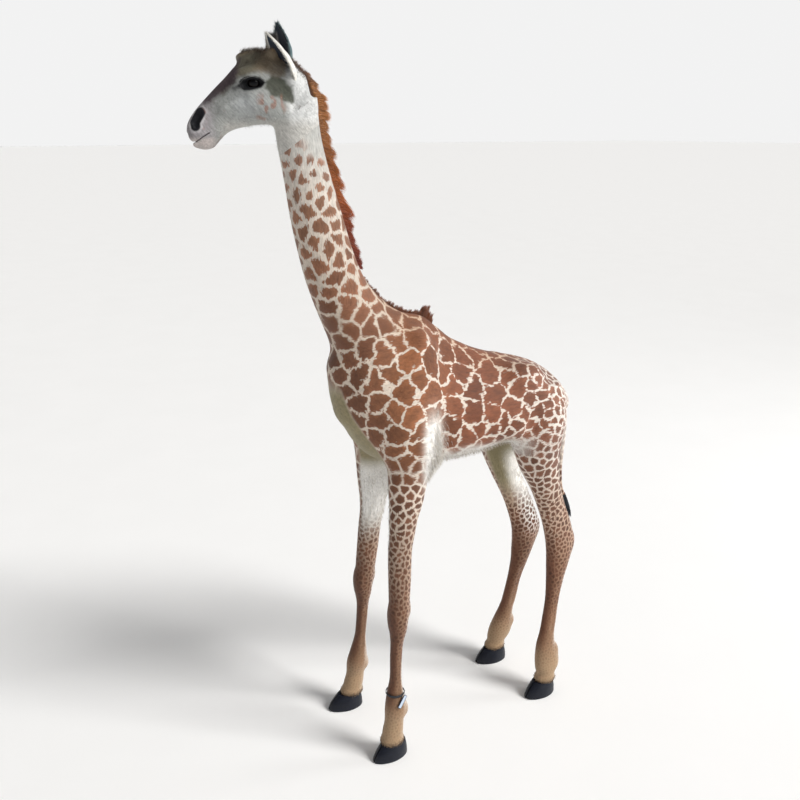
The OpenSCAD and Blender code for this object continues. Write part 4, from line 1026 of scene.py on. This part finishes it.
# ------------------------------------------------------------------------ eyes
def eye_mat():
    def build(nt, b):
        d = attr(nt, "iris").outputs["Fac"]
        n = noise_at(nt, attr(nt, "ray").outputs["Vector"], 30.0, 3.0)
        f = maths(nt, "ADD", d, maths(nt, "MULTIPLY", maths(nt, "SUBTRACT", n, .5), .25), clamp=True)
        nt.links.new(mixc(nt, f, (*lin("#020204"), 1), (*lin("#0E0A09"), 1)), b.inputs["Base Color"])
    return material("eye_glass", build, 0.05, Specular_IOR_Level=0.16)
M_EYE = eye_mat()
M_LID = plain("eyelid_skin", "#040507", "#0D0E13", 420.0, 0.55, depth=0.0003, Specular_IOR_Level=0.2)
for s, side in ((1, "left"), (-1, "right")):
    nu, nv = 48, 28
    P, iris, ray = [], [], []
    for i in range(nv + 1):
        th = math.pi * i / nv
        for j in range(nu):
            ph = 2 * math.pi * j / nu
            v = np.array([math.cos(th), math.sin(th) * math.cos(ph), math.sin(th) * math.sin(ph)])
            r = 15.0 + 0.7 * math.exp(-(th / .55) ** 2)
            P.append(np.array([s * 38, -100, 1721]) + r * v * np.array([s, 1, 1]))
            iris.append(1.0 if th < .8 else 0.25)
            iris[-1] = float(np.interp(math.hypot(v[1] / 1.5, v[2]), [0, .28, .36, .55, .7, 1], [0, 0, .8, 1, .1, 0])) if th < 1.6 else 0
            ray.append((math.cos(ph), math.sin(ph), th * .3))
    F = loft_faces(nv + 1, nu)
    ob = piece("glass_eye_" + side, from_head(np.array(P) * .001), F, M_EYE, "eye_" + side)
    set_float(ob, "iris", iris)
    set_vector(ob, "ray", ray)
    bm = bmesh.new()
    bm.from_mesh(ob.data)
    bmesh.ops.remove_doubles(bm, verts=bm.verts[:], dist=1e-6)
    bmesh.ops.recalc_face_normals(bm, faces=bm.faces[:])
    bm.to_mesh(ob.data)
    bm.free()
    # lids: a thick upper fold and a thinner lower one along an almond
    nl = 64
    C, rad_ = [], []
    for i in range(nl):
        a = 2 * math.pi * i / nl
        ca, sa = math.cos(a), math.sin(a)
        sv = 102.5 + 24.0 * ca
        zv = 1720.5 + (11.5 if sa > 0 else 10.0) * sa * (1 - .12 * ca * ca)
        xv = 50.6 - 4.6 * ca * ca + 1.2 * abs(sa)
        C.append((s * xv, -sv, zv))
        rad_.append(2.0 + (1.3 * max(sa, 0)))
    C = np.array(C)
    T = np.roll(C, -1, 0) - np.roll(C, 1, 0)
    T /= np.linalg.norm(T, axis=1)[:, None]
    U = np.cross(T, [1.0, 0, 0])
    U /= np.linalg.norm(U, axis=1)[:, None]
    V = np.cross(T, U)
    a = np.linspace(0, 2 * np.pi, 14, endpoint=False)
    R = C[:, None] + np.array(rad_)[:, None, None] * (np.cos(a)[None, :, None] * U[:, None] + np.sin(a)[None, :, None] * V[:, None])
    R = np.vstack([R, R[:1]])
    F = loft_faces(nl + 1, 14) % (nl * 14)
    lid = piece("eyelids_" + side, from_head(R[:nl].reshape(-1, 3) * .001), F, M_LID, "eye_rim_" + side)
    # lashes along the upper lid
    rng = np.random.default_rng(80 + s)
    nlash = 170
    a = rng.uniform(.15, 2.85, nlash)
    root = np.stack([s * (51.0 - 4.6 * np.cos(a) ** 2 + 2.2), -(102.5 + 24 * np.cos(a)), 1720.5 + 12.5 * np.sin(a)], 1)
    d = np.stack([np.full(nlash, s * 1.0), -.45 * np.cos(a) + rng.normal(0, .1, nlash), .10 + .45 * np.sin(a) + rng.normal(0, .08, nlash)], 1)
    b = np.stack([np.zeros(nlash), np.zeros(nlash), np.full(nlash, -.35)], 1)
    strands("lashes_" + side, from_head(root * .001), d @ HEAD_M.T, .010 + .006 * rng.random(nlash), .00035,
            tones(nlash, ["#0C0C10", "#17171C"], 83), M_DARKHAIR, None, bend=b @ HEAD_M.T, seg=4, seed=84 + s)

# ------------------------------------------------------------------------ ears
def rot(ax, ay, az):
    ax, ay, az = (math.radians(v) for v in (ax, ay, az))
    X = np.array([[1, 0, 0], [0, math.cos(ax), -math.sin(ax)], [0, math.sin(ax), math.cos(ax)]])
    Y = np.array([[math.cos(ay), 0, math.sin(ay)], [0, 1, 0], [-math.sin(ay), 0, math.cos(ay)]])
    Z = np.array([[math.cos(az), -math.sin(az), 0], [math.sin(az), math.cos(az), 0], [0, 0, 1]])
    return Z @ Y @ X

M_EAR = fur("ear_coat", 700.0, 1.0, 0.0005)
M_EARIN = fur("ear_lining", 500.0, 1.0, 0.0006)
rows = smooth_rows(EAR_ROWS, 6)
for s, side in ((1, "left"), (-1, "right")):
    Rm = rot(26, -13, 38) @ rot(0, 0, -15) if s > 0 else rot(-4, -16, 40)
    T0 = np.array([s * 40, -18 if s > 0 else -30, 1724 if s > 0 else 1748], float)

    def put(P):
        return from_head((P @ Rm.T + T0) * .001)
    # outer shell: a cup with a rounded, rolled edge
    n = 28
    P, edge, inn = [], [], []
    for r in rows:
        for i in range(n):
            a = math.radians(-90 + 180 * i / (n - 1))
            wob = 1 + .02 * math.sin(r[0] * .21 + i * .5)
            P.append((r[1] * wob * math.sin(a), r[2] * math.cos(a) * wob, r[0]))
            edge.append(abs(math.sin(a)) ** 6)
            inn.append(0)
        for i in range(n):
            a = math.radians(90 - 180 * i / (n - 1))
            th = 3.2 - 1.3 * abs(math.sin(a)) ** 4
            th = min(th, r[1] * .45, r[2] * .6)
            P.append(((r[1] - th) * math.sin(a), (r[2] - th) * math.cos(a) - .4, r[0]))
            edge.append(abs(math.sin(a)) ** 6)
            inn.append(1)
    m = len(rows)
    F = loft_faces(m, 2 * n).tolist() + [list(range(2 * n))[::-1], [(m - 1) * 2 * n + i for i in range(2 * n)]]
    P = np.array(P)
    ob = piece("ear_shell_" + side, put(P), F, M_EAR, "ear_" + side)
    bm = bmesh.new()
    bm.from_mesh(ob.data)
    bmesh.ops.recalc_face_normals(bm, faces=bm.faces[:])
    bm.to_mesh(ob.data)
    bm.free()
    edge, inn = np.array(edge), np.array(inn)
    up = P[:, 2] / 112
    nn = len(P)
    # outside of the ear and its rim: pale on the left ear; on the right ear painted dark blue-grey as shade
    outc = ramp(up, [(0, "#CFCECB"), (.5, "#DAD9D6"), (1, "#C4C2BE")]) if s > 0 else ramp(up, [(0, "#55666A"), (.5, "#2E4A4F"), (1, "#1E3A40")])
    inc = ramp(up, [(0, "#1B2129"), (.6, "#222A36"), (1, "#3A4148")])
    col = np.where(inn[:, None] > 0, inc, outc)
    col = mix(col, np.tile(lin("#D9D6CE" if s > 0 else "#5E7376"), (nn, 1)), np.clip(edge * 1.1, 0, 1) * (.95 if s > 0 else .6))
    col = col * (1 + .12 * vnoise(P, 6, 3) + .08 * vnoise(P, 2.5, 4))[:, None]
    set_colour(ob, "ground", np.clip(col, 0, 1))
    set_colour(ob, "patch", np.clip(col, 0, 1))
    set_float(ob, "pat", np.full(nn, -9.0))
    set_float(ob, "pm", np.zeros(nn))
    set_vector(ob, "hair", P * np.array([1, 1, .2]) * .001)
    # dark inner lining: a thin leaf inside the cup
    P2 = []
    rr = [r for r in rows if 6 < r[0] < 105]
    for r in rr:
        for i in range(n):
            a = math.radians(-84 + 168 * i / (n - 1))
            P2.append(((r[1] - 3.7) * math.sin(a), max(r[2] - 3.6, .6) * math.cos(a) - .5, r[0]))
        for i in range(n):
            a = math.radians(84 - 168 * i / (n - 1))
            P2.append(((r[1] - 4.9) * math.sin(a), max(r[2] - 4.9, .3) * math.cos(a) - .9, r[0]))
    P2 = np.array(P2)
    F = loft_faces(len(rr), 2 * n).tolist() + [list(range(2 * n))[::-1], [(len(rr) - 1) * 2 * n + i for i in range(2 * n)]]
    ob = piece("ear_lining_" + side, put(P2), F, M_EARIN, "ear_liner_" + side)
    bm = bmesh.new()
    bm.from_mesh(ob.data)
    bmesh.ops.recalc_face_normals(bm, faces=bm.faces[:])
    bm.to_mesh(ob.data)
    bm.free()
    nn = len(P2)
    col = ramp(P2[:, 2] / 112, [(0, "#10141C"), (.5, "#171D29"), (1, "#2B313B")]) * (1 + .2 * vnoise(P2, 5, 6))[:, None]
    set_colour(ob, "ground", np.clip(col, 0, 1))
    set_colour(ob, "patch", np.clip(col, 0, 1))
    set_float(ob, "pat", np.full(nn, -9.0))
    set_float(ob, "pm", np.zeros(nn))
    set_vector(ob, "hair", P2 * np.array([1, 1, .2]) * .001)
    # short hairs along both edges: pale on the left ear, dark blue-grey painted shade on the right ear
    rng = np.random.default_rng(90 + s)
    ne = 900
    t = rng.random(ne)
    zr = t * 110
    wd = np.interp(zr, rows[:, 0], rows[:, 1])
    sg = np.where(rng.random(ne) < .5, -1, 1)
    root = np.stack([sg * (wd - 1.2), rng.uniform(-.6, 1.6, ne), zr], 1)
    d = np.stack([sg * .10 + rng.normal(0, .12, ne), rng.normal(-.25, .25, ne), np.full(ne, 1.0)], 1)
    strands("ear_fringe_" + side, put(root), d @ Rm.T @ HEAD_M.T, .006 + .005 * rng.random(ne), .00022,
            tones(ne, ["#D8D5CD", "#EDEBE6", "#B9B5AB"] if s > 0 else ["#5E6F72", "#3C5256", "#7A8788"], 91), M_FLUFF, None, seg=3, seed=92 + s)

# horn tufts
for s, side in ((1, "left"), (-1, "right")):
    rng = np.random.default_rng(100 + s)
    prof = smooth_rows(np.array([[0, 12.5, 0], [8, 10.5, 0], [18, 9.4, 0], [26, 9.2, 0], [31, 6.5, 0], [33, 1.5, 0]], float), 5)
    a = np.linspace(0, 2 * np.pi, 28, endpoint=False)
    R = np.stack([np.stack([r[1] * np.cos(a) * (1 + .03 * np.sin(3 * a + r[0] * .3)), r[1] * np.sin(a), np.full(28, r[0] - 2)], 1) for r in prof])
    Rm = rot(4, s * 8, 0)
    T0 = np.array([s * 24, -56, 1789.5])
    P = from_head((R.reshape(-1, 3) @ Rm.T + T0) * .001)
    F = loft_faces(len(prof), 28).tolist() + [list(range(28))[::-1], [(len(prof) - 1) * 28 + i for i in range(28)]]
    ob = piece("horn_core_" + side, P, F, M_EARIN, "ossicone_" + side)
    nn = len(P)
    zc = R.reshape(-1, 3)[:, 2] / 33
    col = ramp(zc, [(0, "#6B5B48"), (.4, "#3B322B"), (1, "#15161B")])
    set_colour(ob, "ground", col)
    set_colour(ob, "patch", col)
    set_float(ob, "pat", np.full(nn, -9.0))
    set_float(ob, "pm", np.zeros(nn))
    set_vector(ob, "hair", R.reshape(-1, 3) * np.array([1, 1, .3]) * .001)
    n = 900
    hz = rng.random(n) ** .7 * 31
    hr = np.interp(hz, prof[:, 0], prof[:, 1])
    an = rng.random(n) * 6.283
    root = np.stack([hr * np.cos(an) * .94, hr * np.sin(an) * .94, hz - 2], 1)
    d = np.stack([np.cos(an) * .45, np.sin(an) * .45, np.full(n, 1.0)], 1) + rng.normal(0, .12, (n, 3))
    tc = ramp(hz, [(0, "#7A6850"), (12, "#3E3530"), (31, "#15171D")]) * (.7 + .6 * rng.random(n))[:, None]
    strands("horn_tuft_" + side, from_head((root @ Rm.T + T0) * .001), d @ Rm.T @ HEAD_M.T, .007 + .006 * rng.random(n), .0004,
            tc, M_DARKHAIR, None, seg=3, seed=102 + s)

# short brush hair on the poll and the forehead
def w_poll(P, N):
    L = to_head(P) * 1000
    return np.exp(-(L[:, 0] / 22) ** 2) * step(N[:, 2], .2, .6) * step(-L[:, 1], -30, -10) * (1 - step(-L[:, 1], 116, 132))
P, N = surface_roots(head, w_poll, 2600, 110)
L = to_head(P) * 1000
rng = np.random.default_rng(111)
d = N * .6 + np.array([[0, .55, .35]]) @ HEAD_M.T + rng.normal(0, .2, (len(P), 3))
tc = ramp(-L[:, 1], [(-30, "#6A3A22"), (20, "#5A4433"), (60, "#7A6650"), (118, "#4F463A")]) * (.6 + .7 * rng.random(len(P)))[:, None]
strands("poll_hair", P - N * .001, d, .006 + .006 * rng.random(len(P)), .00035, tc, M_HAIR, None, seg=3, seed=112)
# whisker-short pale hairs under the jaw and behind the cheek soften the outline
def w_jaw(P, N):
    L = to_head(P) * 1000
    return (N[:, 2] < .1) * step(140 + L[:, 1], 0, 40) * step(1700 - L[:, 2], 0, 30) * step(-L[:, 1], -40, 0)
P, N = surface_roots(head, w_jaw, 1800, 114)
d = N * .5 + np.array([[0, .5, -.6]]) + np.random.default_rng(115).normal(0, .2, (len(P), 3))
strands("jaw_hair", P - N * .001, d, np.full(len(P), .006), .00022, tones(len(P), ["#B9B8B4", "#D5D4D0", "#97958F"], 116), M_FLUFF, None, seg=3, seed=117)

# ---------------------------------------------------------------- tag and band
blo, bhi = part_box("leg_band")
tlo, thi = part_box("leg_tag")
bc = (np.array(blo) + np.array(bhi)) / 2
br = (bhi[0] - blo[0]) / 2 - .0008
n = 72
P = []
for i in range(n):
    a = 2 * math.pi * i / n
    for j in range(10):
        b = 2 * math.pi * j / 10
        h = .0034 * math.copysign(abs(math.sin(b)) ** .6, math.sin(b))
        r = br + .0008 * math.copysign(abs(math.cos(b)) ** .8, math.cos(b)) + .00025 * math.sin(a * 9)
        P.append((bc[0] + r * math.cos(a), bc[1] + r * math.sin(a), bc[2] + h + .0006 * math.sin(a * 2)))
F = loft_faces(n + 1, 10) % (n * 10)
band = piece("fetlock_band", P, F, M_BAND, "leg_band")

def tag_mat():
    def build(nt, b):
        e = attr(nt, "rim").outputs["Fac"]
        n = noise_at(nt, nd(nt, "ShaderNodeTexCoord").outputs["Object"], 260.0, 3.0)
        pale = mixc(nt, n, (*lin("#9FB0C4"), 1), (*lin("#C3CFDD"), 1))
        nt.links.new(mixc(nt, e, pale, (*lin("#1A2540"), 1)), b.inputs["Base Color"])
        nt.links.new(maths(nt, "ADD", maths(nt, "MULTIPLY", n, .2), .22), b.inputs["Roughness"])
        bump(nt, b, n, .0001, .4)
    return material("tag_plastic", build, Coat_Weight=.3)
M_TAG = tag_mat()
Rt = rot(52, 0, 14)
Tt = np.array([149.4, 26 + SY, 170])
nx, nyy = 40, 18
P, rim = [], []
def tag_pt(u, v, side_):
    # rounded-corner plate, a little bowed
    hx_, hz_ = 7.0, 19.0
    cr_ = 2.5
    X, Z = u * hx_, v * hz_
    ex, ez = max(abs(X) - (hx_ - cr_), 0), max(abs(Z) - (hz_ - cr_), 0)
    l = math.hypot(ex, ez)
    if l > cr_:
        X = math.copysign(hx_ - cr_ + ex / l * cr_, X) if ex > 0 else X
        Z = math.copysign(hz_ - cr_ + ez / l * cr_, Z) if ez > 0 else Z
    return X, Z
# the plate is thin along x, 38 along y and 14 along z before it is turned
verts, faces, rim = [], [], []
for side_ in (-1, 1):
    for j in range(nyy + 1):
        for i in range(nx + 1):
            u, v = -1 + 2 * j / nyy, -1 + 2 * i / nx
            X, Z = tag_pt(u, v, side_)
            d_edge = min(7.0 - abs(X), 19.0 - abs(Z))
            th = .8 * (1 - .5 * math.exp(-(d_edge / .6) ** 2)) + (.25 if d_edge < 1.6 else 0)
            verts.append((side_ * th + .5 * math.sin(Z * .09), Z, X))
            rim.append(1.0 if d_edge < 1.7 else 0.0)
K = (nx + 1) * (nyy + 1)
for sd in (0, 1):
    for j in range(nyy):
        for i in range(nx):
            q = [j * (nx + 1) + i, j * (nx + 1) + i + 1, (j + 1) * (nx + 1) + i + 1, (j + 1) * (nx + 1) + i]
            q = [k + sd * K for k in q]
            faces.append(q if sd else q[::-1])
ring_ = [i for i in range(nx + 1)] + [j * (nx + 1) + nx for j in range(1, nyy + 1)] + [nyy * (nx + 1) + i for i in range(nx - 1, -1, -1)] \
    + [j * (nx + 1) for j in range(nyy - 1, 0, -1)]
for k in range(len(ring_)):
    a, b = ring_[k], ring_[(k + 1) % len(ring_)]
    faces.append([a, b, b + K, a + K])
P = (np.array(verts) @ Rt.T + Tt) * .001
tag = piece("fetlock_tag", P, faces, M_TAG, "leg_tag")
set_float(tag, "rim", rim)
bm = bmesh.new()
bm.from_mesh(tag.data)
bmesh.ops.remove_doubles(bm, verts=bm.verts[:], dist=1e-6)
bmesh.ops.recalc_face_normals(bm, faces=bm.faces[:])
bm.to_mesh(tag.data)
bm.free()

# ------------------------------------------------------- carried-over CAD parts
for name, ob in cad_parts.items():
    m = M_STEEL if "rod" in name and "clamps" not in name else M_ZINC if name in ("rod_clamps", "clamp_bolts", "sole_sockets", "neck_socket", "tail_wire") \
        else M_PLY if name in ("centre_board", "head_block") else M_FOAM
    if not ob.data.materials:
        ob.data.materials.append(m)
    for i in range(len(ob.material_slots)):
        ob.material_slots[i].material = m

# ----------------------------------------------------------------------- stage
sc = bpy.context.scene
me = bpy.data.meshes.new("floor")
me.from_pydata([(-90, -90, -.0005), (90, -90, -.0005), (90, 90, -.0005), (-90, 90, -.0005)], [], [(0, 1, 2, 3)])
floor = bpy.data.objects.new("floor", me)
sc.collection.objects.link(floor)
me.materials.append(plain("floor_pale", "#FAFAFA", "#FCFCFC", 3.0, 0.9, depth=0.0))
world = bpy.data.worlds.new("studio")
sc.world = world
world.use_nodes = True
wn = world.node_tree
bg = wn.nodes["Background"]
sep = wn.nodes.new("ShaderNodeSeparateXYZ")
wn.links.new(wn.nodes.new("ShaderNodeTexCoord").outputs["Generated"], sep.inputs[0])
mr = wn.nodes.new("ShaderNodeMapRange")
mr.inputs["From Min"].default_value = 0.13
mr.inputs["From Max"].default_value = 0.32
mr.inputs["To Min"].default_value = 0.89
mr.inputs["To Max"].default_value = 0.24
wn.links.new(sep.outputs[2], mr.inputs["Value"])
wn.links.new(mr.outputs[0], bg.inputs[1])
bg.inputs[0].default_value = (1, 1, 1, 1)

def area(name, at, to, size, power, colour=(1, 1, 1)):
    l = bpy.data.lights.new(name, "AREA")
    l.shape = "DISK"
    l.size = size
    l.energy = power
    l.color = colour
    o = bpy.data.objects.new(name, l)
    o.location = at
    o.rotation_euler = (Vector(to) - Vector(at)).to_track_quat("-Z", "Y").to_euler()
    sc.collection.objects.link(o)
sun = bpy.data.lights.new("key", "SUN")
sun.energy = 3.25
sun.angle = math.radians(24)
sun.color = (1.0, 0.985, 0.96)
so = bpy.data.objects.new("key", sun)
so.location = (3.2, 2.2, 3.6)
so.rotation_euler = (Vector((0, 0, 0)) - Vector((.80, .62, .80))).to_track_quat("-Z", "Y").to_euler()
sc.collection.objects.link(so)
area("edge", (1.4, 4.2, 2.2), (0, .1, 1.0), 1.4, 40)

cam_d = bpy.data.cameras.new("camera")
cam_d.lens = 40.76
cam_d.sensor_width = 36.0
cam = bpy.data.objects.new("camera", cam_d)
cam.location = (1.92692, -1.20363, 1.62970)
cam.rotation_euler = (math.radians(90 - 16.724), 0, math.radians(59.194))
sc.collection.objects.link(cam)
sc.camera = cam
sc.view_settings.view_transform = "Standard"

bpy.context.view_layer.update()
